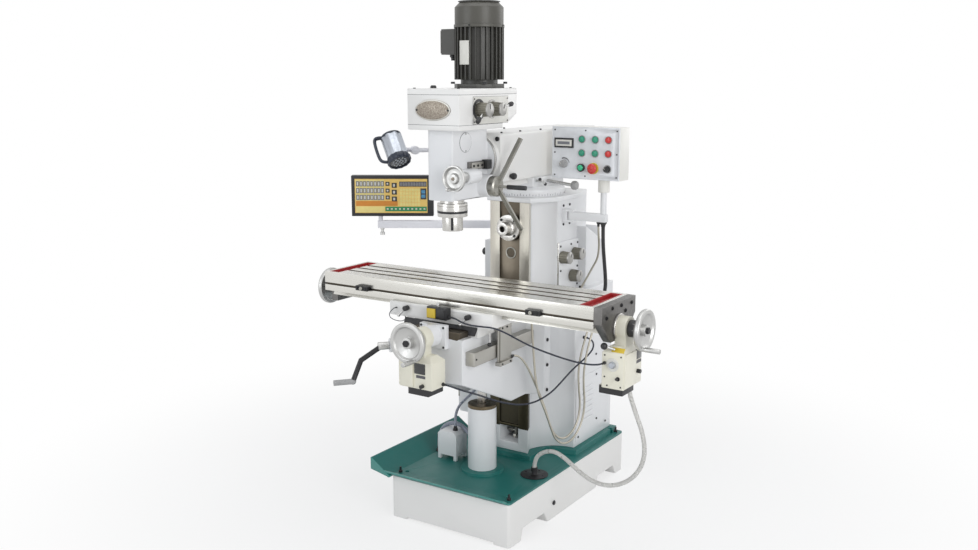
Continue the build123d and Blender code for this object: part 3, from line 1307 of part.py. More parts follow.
def head_casting():
    body = block(-HEAD_HALF, HEAD_HALF, HEAD_FRONT, HEAD_BACK, HEAD_BOTTOM, HEAD_TOP)
    body = fillet(vertical_edges(body).group_by(Axis.Y)[0], HEAD_CORNER)
    disc_end = RAM_FRONT - TILT_DISC_THICK - SLIDE_GAP
    body += rod(TILT_DISC, (0, HEAD_BACK, TILT_Z), (0, disc_end, TILT_Z))
    spigot = disc_end + TILT_SPIGOT_LENGTH
    body += rod(TILT_SPIGOT, (0, disc_end, TILT_Z), (0, spigot, TILT_Z))
    lever = (LEVER_Y, LEVER_Z)
    body += rod(LEVER_BOSS, (0, *lever), (LEVER_BOSS_END, *lever))
    fine = (FINE_X, FINE_Z)
    low, high = FINE_Z - FINE_BOSS, FINE_Z + FINE_BOSS
    body += block(0, FINE_X, FINE_BOSS_FRONT, FINE_BOSS_BACK, low, high)
    boss_front = (FINE_X, FINE_BOSS_FRONT, FINE_Z)
    boss_back = (FINE_X, FINE_BOSS_BACK, FINE_Z)
    body += rod(FINE_BOSS, boss_front, boss_back)
    axis = (0, SPINDLE_Y)
    body -= rod(QUILL_RADIUS + RUN_GAP, (*axis, HEAD_BOTTOM), (*axis, HEAD_TOP))
    body -= rod(FINE_SHAFT + RUN_GAP, boss_front, boss_back)
    inner = LEVER_BOSS_END / 2
    return [body - rod(LEVER_SHAFT + RUN_GAP, (inner, *lever), (LEVER_BOSS_END, *lever))]


def gearbox_housing():
    step = HEAD_TOP + GEARBOX_STEP
    rim = GEARBOX_TOP - GEARBOX_LID
    outline = [
        (GEARBOX_FRONT, HEAD_TOP),
        (GEARBOX_STEP_Y, HEAD_TOP),
        (GEARBOX_STEP_Y, step),
        (GEARBOX_BACK - GEARBOX_CUT, step),
        (GEARBOX_BACK, HEAD_TOP + GEARBOX_CUT),
        (GEARBOX_BACK, rim),
        (GEARBOX_FRONT, rim),
    ]
    body = prism_x(outline, -GEARBOX_HALF, GEARBOX_HALF)
    axis = (0, SPINDLE_Y)
    body -= rod(DRIVE_RADIUS + FREE_GAP, (*axis, HEAD_TOP), (*axis, step))
    wall = GEARBOX_WALL
    inside = GEARBOX_HALF - wall
    y0, y1 = GEARBOX_FRONT + wall, GEARBOX_BACK - GEARBOX_CUT
    body -= block(-inside, inside, y0, y1, step + wall / 2, rim)
    body -= rod(DRIVE_RADIUS + FREE_GAP, (*axis, step), (*axis, step + wall / 2))
    for y in GEARBOX_KNOBS:
        inner = GEARBOX_HALF - PLATE_THICK
        hole = KNOB_STEM + RUN_GAP
        body -= rod(hole, (inner, y, GEARBOX_KNOB_Z), (GEARBOX_HALF, y, GEARBOX_KNOB_Z))
    lid = block(-GEARBOX_HALF, GEARBOX_HALF, GEARBOX_FRONT, GEARBOX_BACK, rim, GEARBOX_TOP)
    return [body, lid]


def motor():
    low, core = GEARBOX_TOP, GEARBOX_TOP + MOTOR_FLANGE + MOTOR_FOOT
    half = MOTOR_FLANGE_HALF
    frame = block(-half, half, MOTOR_Y - half, MOTOR_Y + half, low, low + MOTOR_FLANGE)
    frame = chamfer(vertical_edges(frame), half / 2)
    frame += rod(MOTOR_CORE * 0.85, (0, MOTOR_Y, low), (0, MOTOR_Y, core))
    frame += rod(MOTOR_CORE, (0, MOTOR_Y, core), (0, MOTOR_Y, MOTOR_BODY_TOP))
    fin = block(0, MOTOR_CORE + MOTOR_FIN, -MOTOR_FIN_THICK / 2, MOTOR_FIN_THICK / 2, core, MOTOR_BODY_TOP)
    fins = [Pos(0, MOTOR_Y, 0) * Rot(0, 0, 360 * i / MOTOR_FINS) * fin for i in range(MOTOR_FINS)]
    frame += fins
    y0, y1 = MOTOR_Y - BOX_HALF, MOTOR_Y + BOX_HALF
    inner = MOTOR_CORE + MOTOR_FIN
    box = block(-BOX_OUT, -inner, y0, y1, BOX_BOTTOM, BOX_TOP)
    frame += block(-inner, -MOTOR_CORE / 2, y0, y1, BOX_BOTTOM, BOX_TOP)
    return [frame, chamfer(box.edges().group_by(Axis.X)[0], PUMP_LEG / 4)]


def motor_fan_cover():
    cover = rod(FAN_RADIUS, (0, MOTOR_Y, MOTOR_BODY_TOP), (0, MOTOR_Y, FAN_TOP))
    return [chamfer(cover.edges().group_by(Axis.Z)[-1], FAN_CHAMFER)]


def quill():
    axis = (0, SPINDLE_Y)
    body = rod(QUILL_RADIUS, (*axis, COLLAR_TOP), (*axis, QUILL_TOP))
    body += rod(QUILL_COLLAR, (*axis, COLLAR_BOTTOM), (*axis, COLLAR_TOP))
    return [body - rod(SPINDLE_RADIUS + RUN_GAP, (*axis, COLLAR_BOTTOM), (*axis, QUILL_TOP))]


def vertical_spindle():
    axis = (0, SPINDLE_Y)
    under = COLLAR_BOTTOM - SLIDE_GAP
    body = rod(NOSE_RADIUS, (*axis, NOSE_BOTTOM), (*axis, under))
    body += rod(SPINDLE_RADIUS, (*axis, under), (*axis, QUILL_TOP))
    body += rod(DRIVE_RADIUS, (*axis, QUILL_TOP), (*axis, DRIVE_TOP))
    return [body - rod(COLLET_BORE, (*axis, NOSE_BOTTOM), (*axis, NOSE_BOTTOM + COLLET_DEPTH))]


def quill_lever():
    near = LEVER_BOSS_END + SLIDE_GAP
    hub = rod(LEVER_HUB, (near, LEVER_Y, LEVER_Z), (LEVER_HUB_END, LEVER_Y, LEVER_Z))
    hub = chamfer(hub.edges().group_by(Axis.X)[-1], LEVER_SHAFT / 2)
    inner = LEVER_BOSS_END / 2 + SLIDE_GAP
    hub += rod(LEVER_SHAFT, (inner, LEVER_Y, LEVER_Z), (near, LEVER_Y, LEVER_Z))
    root = LEVER_HUB_END - LEVER_BAR
    for angle in LEVER_ANGLES:
        turn = math.radians(angle)
        y = LEVER_Y + LEVER_REACH * math.cos(turn)
        z = LEVER_Z + LEVER_REACH * math.sin(turn)
        hub += bar(LEVER_BAR, 2 * LEVER_BAR, (root, LEVER_Y, LEVER_Z), (root + LEVER_SPLAY, y, z))
    stem = LEVER_HUB_END + LEVER_HUB
    hub += rod(LEVER_GRIP * 0.6, (root, LEVER_Y, LEVER_Z), (stem, LEVER_Y, LEVER_Z))
    return [hub, rod(LEVER_GRIP, (stem, LEVER_Y, LEVER_Z), (LEVER_GRIP_END, LEVER_Y, LEVER_Z))]


def fine_feed_wheel():
    start = (FINE_X, FINE_WHEEL_Y, FINE_Z)
    shaft = rod(FINE_SHAFT, start, (FINE_X, FINE_BOSS_BACK, FINE_Z))
    profile = [
        (0, 0),
        (FINE_WHEEL - WHEEL_WEB, 0),
        (FINE_WHEEL, WHEEL_WEB),
        (FINE_WHEEL, 3 * WHEEL_WEB),
        (FINE_WHEEL - WHEEL_WEB, 3 * WHEEL_WEB),
        (FINE_WHEEL - 2 * WHEEL_WEB, WHEEL_WEB),
        (WHEEL_HUB, WHEEL_WEB),
        (WHEEL_HUB * 0.8, 3 * WHEEL_WEB),
        (0, 3 * WHEEL_WEB),
    ]
    dish = turned(profile, (FINE_X, FINE_WHEEL_Y, FINE_Z), (0, -1, 0))
    hub = FINE_BOSS_FRONT - SLIDE_GAP
    return [shaft + dish + rod(WHEEL_HUB, start, (FINE_X, hub, FINE_Z))]


# Controls


def panel_arm():
    pivot_x = UPPER_HALF + ARM_BRACKET
    low, high = ARM_Z - ARM_HEIGHT / 2, ARM_Z + ARM_HEIGHT / 2
    front, back = ARM_Y - ARM_DEPTH / 2, ARM_Y + ARM_DEPTH / 2
    beam = block(pivot_x, POST_X + ARM_DEPTH / 2, front, back, low, high)
    beam += rod(ARM_DEPTH / 2, (pivot_x, ARM_Y, low), (pivot_x, ARM_Y, high))
    beam -= rod(ARM_PIN + RUN_GAP, (pivot_x, ARM_Y, low), (pivot_x, ARM_Y, high))
    return [beam + rod(POST_RADIUS, (POST_X, ARM_Y, high), (POST_X, ARM_Y, POST_TOP))]


def arm_bracket():
    """The fixed clevis on the column that carries the panel arm, with its pin."""
    pivot_x = UPPER_HALF + ARM_BRACKET
    low, high = ARM_Z - ARM_HEIGHT / 2 - SLIDE_GAP, ARM_Z + ARM_HEIGHT / 2 + SLIDE_GAP
    front, back = ARM_Y - ARM_DEPTH / 2, ARM_Y + ARM_DEPTH / 2
    ear = ARM_PIN
    edge = pivot_x + ARM_DEPTH / 2
    clevis = block(UPPER_HALF, edge, front, back, low - ear, low)
    clevis += block(UPPER_HALF, edge, front, back, high, high + ear)
    inner = pivot_x - ARM_DEPTH / 2 - FREE_GAP
    clevis += block(UPPER_HALF, inner, front, back, low, high)
    return [clevis + rod(ARM_PIN, (pivot_x, ARM_Y, low), (pivot_x, ARM_Y, high))]


def panel_box():
    back = PANEL_FRONT + PANEL_DEPTH
    case = block(PANEL_LEFT, PANEL_RIGHT, PANEL_FRONT, back, PANEL_BOTTOM, PANEL_TOP)
    inset = PANEL_INSET
    x0, x1 = PANEL_LEFT + inset, PANEL_RIGHT - inset
    z0, z1 = PANEL_BOTTOM + inset, PANEL_TOP - inset
    case -= block(x0, x1, PANEL_FRONT, back - inset, z0, z1)
    socket_top = POST_TOP + SLIDE_GAP
    socket = rod(PANEL_SOCKET, (POST_X, ARM_Y, POST_TOP - PANEL_SOCKET), (POST_X, ARM_Y, PANEL_BOTTOM))
    hole = POST_RADIUS + RUN_GAP
    case += socket - rod(hole, (POST_X, ARM_Y, POST_TOP - PANEL_SOCKET), (POST_X, ARM_Y, socket_top))
    face = block(x0, x1, PANEL_FRONT, PANEL_FRONT + PANEL_FACE, z0, z1)
    holes = [(x, z, BUTTON_RADIUS) for x in BUTTON_COLUMNS for z in BUTTON_ROWS]
    holes += [
        (STOP_BUTTON_X, LOWER_ROW, BUTTON_RADIUS),
        (SELECTOR_X, LOWER_ROW, KNOB_STEM),
        (DIAL_X, DIAL_Z, KNOB_STEM),
    ]
    for x, z, radius in holes:
        inner = PANEL_FRONT + PANEL_FACE
        face -= rod(radius + RUN_GAP, (x, PANEL_FRONT, z), (x, inner, z))
    return [case, face]


def push_button(x, z):
    return [rod(BUTTON_RADIUS, (x, PANEL_FRONT - BUTTON_OUT, z), (x, PANEL_FRONT + BUTTON_IN, z))]


def emergency_stop():
    x, z = STOP_BUTTON_X, LOWER_ROW
    outer = PANEL_FRONT - STOP_BUTTON_OUT
    stem = rod(BUTTON_RADIUS, (x, outer, z), (x, PANEL_FRONT + BUTTON_IN, z))
    head = rod(STOP_BUTTON_RADIUS, (x, outer, z), (x, outer + BUTTON_OUT, z))
    return [stem + chamfer(head.edges().group_by(Axis.Y)[0], BUTTON_OUT / 3)]


def panel_knob(x, z, radius):
    outer = PANEL_FRONT - 2 * BUTTON_OUT
    near = PANEL_FRONT - SLIDE_GAP
    knob = rod(radius, (x, outer, z), (x, near, z))
    return [knob + rod(KNOB_STEM, (x, near, z), (x, PANEL_FRONT + BUTTON_IN, z))]


def readout_place():
    """The readout is drawn square to the axes about its pivot, then turned."""
    return Pos(READOUT_PIVOT_X, READOUT_PIVOT_Y, 0) * Rot(0, 0, READOUT_TURN)


def readout_bracket():
    """The fixed lug on the column boss that carries the readout arm, with its pin."""
    left = -UPPER_HALF - SIDE_BOX_OUT
    low = READOUT_ARM_Z - READOUT_ARM_HEIGHT / 2 - SLIDE_GAP
    half = READOUT_ARM_DEPTH / 2
    lug = block(READOUT_PIVOT_X - half, left, READOUT_PIVOT_Y - half, READOUT_PIVOT_Y + half,
                low - 3 * half, low)
    lug += block(left, -UPPER_HALF, READOUT_PIVOT_Y - half, READOUT_PIVOT_Y + half, SIDE_BOX_TOP, low)
    top = READOUT_ARM_Z + READOUT_ARM_HEIGHT / 2
    pin = (READOUT_PIVOT_X, READOUT_PIVOT_Y)
    return [lug + rod(READOUT_POST * 0.7, (*pin, low), (*pin, top))]


def readout_arm():
    half = READOUT_ARM_DEPTH / 2
    low, high = READOUT_ARM_Z - READOUT_ARM_HEIGHT / 2, READOUT_ARM_Z + READOUT_ARM_HEIGHT / 2
    beam = block(-READOUT_ARM_LENGTH, 0, -half, half, low, high)
    beam += rod(half, (0, 0, low), (0, 0, high))
    beam -= rod(READOUT_POST * 0.7 + RUN_GAP, (0, 0, low), (0, 0, high))
    end = -READOUT_ARM_LENGTH + half
    beam += rod(READOUT_POST, (end, 0, high), (end, 0, READOUT_BOTTOM - SLIDE_GAP))
    pin = READOUT_BOTTOM + READOUT_POST
    beam += rod(READOUT_POST * 0.6, (end, 0, READOUT_BOTTOM - SLIDE_GAP), (end, 0, pin))
    return [readout_place() * beam]


def readout_console():
    end = -READOUT_ARM_LENGTH + READOUT_ARM_DEPTH / 2
    middle = end + READOUT_SHIFT
    half = READOUT_WIDTH / 2
    depth = READOUT_DEPTH / 2
    top = READOUT_BOTTOM + READOUT_HEIGHT
    case = block(middle - half, middle + half, -depth, depth, READOUT_BOTTOM, top)
    hole = READOUT_BOTTOM + READOUT_POST + SLIDE_GAP
    case -= rod(READOUT_POST * 0.6 + RUN_GAP, (end, 0, READOUT_BOTTOM), (end, 0, hole))
    return [readout_place() * case]


def lamp_arm():
    base = (LAMP_BASE_X, LAMP_BASE_Y)
    top = LAMP_Z + LAMP_JOINT
    low = LAMP_Z - LAMP_JOINT + SLIDE_GAP
    pin = LAMP_Z - 2 * LAMP_JOINT
    arm = rod(LAMP_ARM, (*base, pin), (*base, low)) + rod(LAMP_JOINT, (*base, low), (*base, top))
    elbow = Vector(*LAMP_ELBOW)
    axis = lamp_hinge()
    arm += rod(LAMP_ARM, (*base, LAMP_Z), elbow + axis * (LAMP_ARM + FREE_GAP / 2))
    half = axis * LAMP_JOINT
    arm += rod(LAMP_JOINT, elbow, (elbow + half))
    return [arm + rod(LAMP_ARM * 0.7, elbow - axis * (LAMP_JOINT - SLIDE_GAP), elbow)]


def lamp_hinge():
    """The lamp head tilts about a level line across its arm."""
    run = Vector(*LAMP_ELBOW) - Vector(LAMP_BASE_X, LAMP_BASE_Y, LAMP_Z)
    return Vector(-run.Y, run.X, 0).normalized()


def lamp_head():
    centre, aim = Vector(*LAMP_CENTRE), Vector(*LAMP_AIM).normalized()
    half = LAMP_LENGTH / 2
    rear, front = centre - aim * half, centre + aim * half
    body = rod(LAMP_RADIUS, rear, front)
    elbow, axis = Vector(*LAMP_ELBOW), lamp_hinge()
    near = elbow - axis * SLIDE_GAP
    far = elbow - axis * LAMP_JOINT
    ear = rod(LAMP_JOINT, near, far)
    ear += rod(LAMP_ARM, elbow - axis * (LAMP_JOINT * 0.8), centre)
    ear -= rod(LAMP_ARM * 0.7 + RUN_GAP, elbow, far)
    return [body + ear]


def all_pieces():
    pieces = {
        "base_casting": [base_casting],
        "chip_tray": [chip_tray],
        "screw_pedestal": [screw_pedestal, elevating_nut],
        "coolant_fittings": [coolant_pump, drain_strainer],
        "column_casting": [column_casting],
        "column_covers": [bearing_cap, selector_plate, side_cover],
        "horizontal_spindle": [horizontal_spindle],
        "electrical_cabinet": [electrical_cabinet],
        "knee_casting": [knee_casting, cross_scale],
        "elevating_screw": [elevating_screw],
        "crank_handle": [crank_handle],
        "cross_feed_unit": [cross_feed_unit],
        "cross_handwheel": [cross_handwheel],
        "saddle_casting": [saddle_casting, scale_reader],
        "limit_switch": [limit_switch],
        "way_cover": [way_cover],
        "table_casting": [table_casting],
        "trough_trays": [trough_trays],
        "table_end_brackets": [table_end_brackets],
        "table_handwheels": [table_handwheels],
        "long_feed_unit": [long_feed_unit],
        "turret_base": [turret_base],
        "ram": [ram],
        "head_casting": [head_casting],
        "gearbox_housing": [gearbox_housing],
        "motor": [motor, motor_fan_cover],
        "quill": [quill],
        "vertical_spindle": [vertical_spindle],
        "quill_lever": [quill_lever],
        "fine_feed_wheel": [fine_feed_wheel],
        "arm_brackets": [arm_bracket, readout_bracket],
        "panel_arm": [panel_arm],
        "panel_box": [panel_box],
        "emergency_stop": [emergency_stop],
        "readout_arm": [readout_arm],
        "readout_console": [readout_console],
        "lamp_arm": [lamp_arm],
        "lamp_head": [lamp_head],
    }
    solids = {name: [solid for make in makers for solid in make()] for name, makers in pieces.items()}
    for number, (y, z) in enumerate(KNOB_PLACES, 1):
        solids[f"gear_knob_{number}"] = side_knob(UPPER_HALF + PLATE_THICK, y, z, PLATE_THICK, KNOB_LENGTH)
    for number, y in enumerate(GEARBOX_KNOBS, 1):
        stem = PLATE_THICK - SLIDE_GAP
        solids[f"head_knob_{number}"] = side_knob(GEARBOX_HALF, y, GEARBOX_KNOB_Z, stem, GEARBOX_KNOB_LENGTH)
    for side, x in zip(("left", "right"), LOCK_PLACES):
        solids[f"table_lock_{side}"] = table_lock(x)
    for side, x in zip(("left", "right"), STOP_PLACES):
        solids[f"table_stop_{side}"] = table_stop(x)
    places = [(x, z) for z in BUTTON_ROWS for x in BUTTON_COLUMNS]
    for number, (x, z) in enumerate(places, 1):
        solids[f"push_button_{number}"] = push_button(x, z)
    solids["panel_selector"] = panel_knob(SELECTOR_X, LOWER_ROW, SELECTOR_RADIUS)
    solids["panel_dial"] = panel_knob(DIAL_X, DIAL_Z, DIAL_RADIUS)
    solids["drain_hose"] = [cord(DRAIN_HOSE, DRAIN_ROUTE)]
    solids["switch_cable"] = [cord(SWITCH_CABLE, SWITCH_ROUTE)]
    solids["feed_cable"] = [cord(FEED_CABLE, FEED_ROUTE)]
    solids["scale_cable"] = [cord(SCALE_CABLE, SCALE_ROUTE)]
    solids["panel_conduit"] = [cord(CONDUIT, CONDUIT_ROUTE)]
    return solids


def main():
    os.makedirs("parts", exist_ok=True)
    for name, solids in all_pieces().items():
        export_step(Compound([body for shape in solids for body in shape.solids()]), f"parts/{name}.step")


if __name__ == "__main__":
    main()
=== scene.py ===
import json
import math
from itertools import product

import bmesh
import bpy
from mathutils import Matrix, Vector


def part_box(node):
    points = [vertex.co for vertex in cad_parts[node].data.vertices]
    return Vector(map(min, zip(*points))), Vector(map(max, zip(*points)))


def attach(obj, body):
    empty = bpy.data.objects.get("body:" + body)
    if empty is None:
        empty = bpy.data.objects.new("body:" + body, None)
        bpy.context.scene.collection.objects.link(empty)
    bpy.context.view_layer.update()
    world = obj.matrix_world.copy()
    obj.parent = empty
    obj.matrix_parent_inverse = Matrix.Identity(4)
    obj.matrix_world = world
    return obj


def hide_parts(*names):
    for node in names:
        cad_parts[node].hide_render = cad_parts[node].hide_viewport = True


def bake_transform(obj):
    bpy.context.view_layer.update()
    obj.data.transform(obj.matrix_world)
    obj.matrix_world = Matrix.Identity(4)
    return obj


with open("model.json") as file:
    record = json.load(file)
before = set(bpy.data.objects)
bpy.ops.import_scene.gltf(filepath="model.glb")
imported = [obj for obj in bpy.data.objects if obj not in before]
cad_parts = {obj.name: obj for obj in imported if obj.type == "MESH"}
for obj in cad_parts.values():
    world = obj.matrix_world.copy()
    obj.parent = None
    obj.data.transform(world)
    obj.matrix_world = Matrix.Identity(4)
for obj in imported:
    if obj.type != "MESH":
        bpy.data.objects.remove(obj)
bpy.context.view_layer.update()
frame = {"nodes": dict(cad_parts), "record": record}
record = frame["record"]
nodes = frame["nodes"]
homeBody = {node: body for body, names in record["behaviour"]["bodies"].items() for node in names}
nodeSlot = {part["node"]: part["material_slot"] for part in record["subparts"]}
scene = bpy.context.scene
milli = 0.001  # pieces are drawn in millimetres, and the frame is in metres
toRight, toLeft, toFront = (1, 0, 0), (-1, 0, 0), (0, -1, 0)
toRear, toTop, toFloor = (0, 1, 0), (0, 0, 1), (0, 0, -1)
print("frame loaded,", len(nodes), "nodes")

# Camera, at the photograph's place

cameraView = {"place": (2.263, -3.676, 1.818), "turn": 33.08, "down": 10.96, "lens": 37.73, "sensor": 36.0}


def intoScene(name, data):
    made = bpy.data.objects.new(name, data)
    scene.collection.objects.link(made)
    return made


def placeCamera(view):
    lens = bpy.data.cameras.new("photoCamera")
    lens.lens = view["lens"]
    lens.sensor_width = view["sensor"]
    lens.sensor_fit = "HORIZONTAL"
    camera = intoScene("photoCamera", lens)
    camera.location = view["place"]
    camera.rotation_euler = (math.radians(90 - view["down"]), 0, math.radians(view["turn"]))
    scene.camera = camera


placeCamera(cameraView)
print("camera placed")

# Finishes

noiseSpan = (0.3, 0.7)  # the middle of a noise's values, drawn out to full contrast


def addNode(tree, kind, values=None, links=None):
    # a shader node with its values set and its inputs linked
    node = tree.nodes.new("ShaderNode" + kind)
    for socket, value in (values or {}).items():
        node.inputs[socket].default_value = value
    for socket, source in (links or {}).items():
        tree.links.new(source, node.inputs[socket])
    return node


class Finish:
    # a principled material with small helpers for its texture nodes
    def __init__(self, name, colour, rough, metal=0.0, coat=0.0):
        self.material = bpy.data.materials.new(name)
        self.material.use_nodes = True
        self.tree = self.material.node_tree
        self.shader = self.tree.nodes["Principled BSDF"]
        self.put({"Base Color": (*colour, 1), "Roughness": rough, "Metallic": metal, "Coat Weight": coat})
        self.where = addNode(self.tree, "TexCoord").outputs["Object"]

    def put(self, values):
        for socket, value in values.items():
            self.shader.inputs[socket].default_value = value

    def feed(self, source, socket):
        self.tree.links.new(source, self.shader.inputs[socket])
        return self

    def noise(self, scale, detail=3.0, stretch=None):
        where = self.where
        if stretch:
            where = addNode(self.tree, "Mapping", {"Scale": stretch}, {"Vector": where}).outputs["Vector"]
        values = {"Scale": scale, "Detail": detail}
        return addNode(self.tree, "TexNoise", values, {"Vector": where}).outputs["Fac"]

    def cells(self, scale):
        node = addNode(self.tree, "TexVoronoi", {"Scale": scale}, {"Vector": self.where})
        return node.outputs["Distance"]

    def tint(self, value, first, second):
        node = addNode(self.tree, "ValToRGB", None, {"Fac": value})
        for stop, place, colour in zip(node.color_ramp.elements, noiseSpan, (first, second)):
            stop.position = place
            stop.color = (*colour, 1)
        return self.feed(node.outputs["Color"], "Base Color")

    def rough(self, value, low, high):
        ends = {"From Min": noiseSpan[0], "From Max": noiseSpan[1], "To Min": low, "To Max": high}
        node = addNode(self.tree, "MapRange", ends, {"Value": value})
        return self.feed(node.outputs["Result"], "Roughness")

    def bump(self, value, depth):
        links = {"Height": value}
        earlier = self.shader.inputs["Normal"].links
        if earlier:
            links["Normal"] = earlier[0].from_socket
        node = addNode(self.tree, "Bump", {"Strength": 1.0, "Distance": depth}, links)
        return self.feed(node.outputs["Normal"], "Normal")


def shade(colour, share):
    return tuple(channel * share for channel in colour)


def enamel(name, colour, gloss=0.3, peel=0.00002, coat=0.2):
    made = Finish(name, colour, gloss, coat=coat)
    made.put({"Coat Roughness": 0.12})
    made.tint(made.noise(3.5, 4), shade(colour, 0.988), colour)  # faint clouding of a sprayed coat
    made.rough(made.noise(22, 3), gloss - 0.02, gloss + 0.05)
    return made.bump(made.noise(420, 2), peel).material  # orange peel


def groundMetal(name, colour, lines, rough=0.3, depth=0.00003, film=0.86):
    made = Finish(name, colour, rough, metal=1.0)
    grain = made.noise(1.0, 2, lines)
    made.tint(made.noise(5.0, 5), shade(colour, film), colour)  # thin film of oil
    made.rough(grain, rough - 0.1, rough + 0.1)
    return made.bump(grain, depth).material


# ground way metal, darkened toward the foot as painted shade under the knee, with oil there too
def wayMetal(name, dark, pale):
    made = Finish(name, pale, 0.34, metal=1.0)
    foot = addNode(made.tree, "Mapping", {"Location": (0, 0, -0.22)}, {"Vector": made.where})
    height = addNode(made.tree, "SeparateXYZ", None, {0: foot.outputs["Vector"]}).outputs["Z"]
    made.tint(height, dark, pale)  # darker toward the foot: painted shade under the knee, with oil there too
    grain = made.noise(1.0, 2, (900, 60, 6))
    made.rough(grain, 0.26, 0.44)
    return made.bump(grain, 0.00002).material


def agedMetal(name, dark, pale):
    made = Finish(name, pale, 0.42, metal=1.0)
    patina = made.noise(240, 6)
    made.tint(patina, dark, pale)
    made.rough(patina, 0.55, 0.36)
    return made.bump(patina, 0.0002).material


def castMetal(name, colour, rough=0.5, metal=1.0, grit=0.00012):
    made = Finish(name, colour, rough, metal=metal)
    made.tint(made.noise(14, 5), shade(colour, 0.86), colour)
    made.rough(made.noise(60, 3), rough - 0.08, rough + 0.12)
    made.bump(made.noise(650, 3), grit)
    return made.bump(made.cells(160), grit * 0.6).material


def plastic(name, colour, rough=0.42, grain=0.00005, coat=0.0):
    made = Finish(name, colour, rough, coat=coat)
    made.tint(made.noise(30, 3), shade(colour, 0.9), colour)
    made.rough(made.noise(90, 2), rough - 0.06, rough + 0.08)
    return made.bump(made.noise(900, 2), grain).material


def rubber(name, colour, rough=0.62):
    made = Finish(name, colour, rough)
    made.tint(made.noise(40, 4), shade(colour, 0.7), colour)
    made.rough(made.noise(55, 3), rough - 0.1, rough + 0.15)
    return made.bump(made.noise(1200, 2), 0.0001).material


def cloudyHose(name, colour):
    made = Finish(name, colour, 0.3)
    seep = (0.004, 0.004, 0.004)  # how far light spreads inside the wall
    made.put({"Transmission Weight": 0.3, "Subsurface Weight": 0.15, "Subsurface Radius": seep})
    made.tint(made.noise(25, 4), shade(colour, 0.88), colour)
    return made.rough(made.noise(40, 2), 0.22, 0.42).material


def screenGlass(name, colour):
    made = Finish(name, colour, 0.08, coat=0.6)
    made.tint(made.noise(12, 2), shade(colour, 0.8), colour)
    return made.rough(made.noise(30, 2), 0.05, 0.14).material


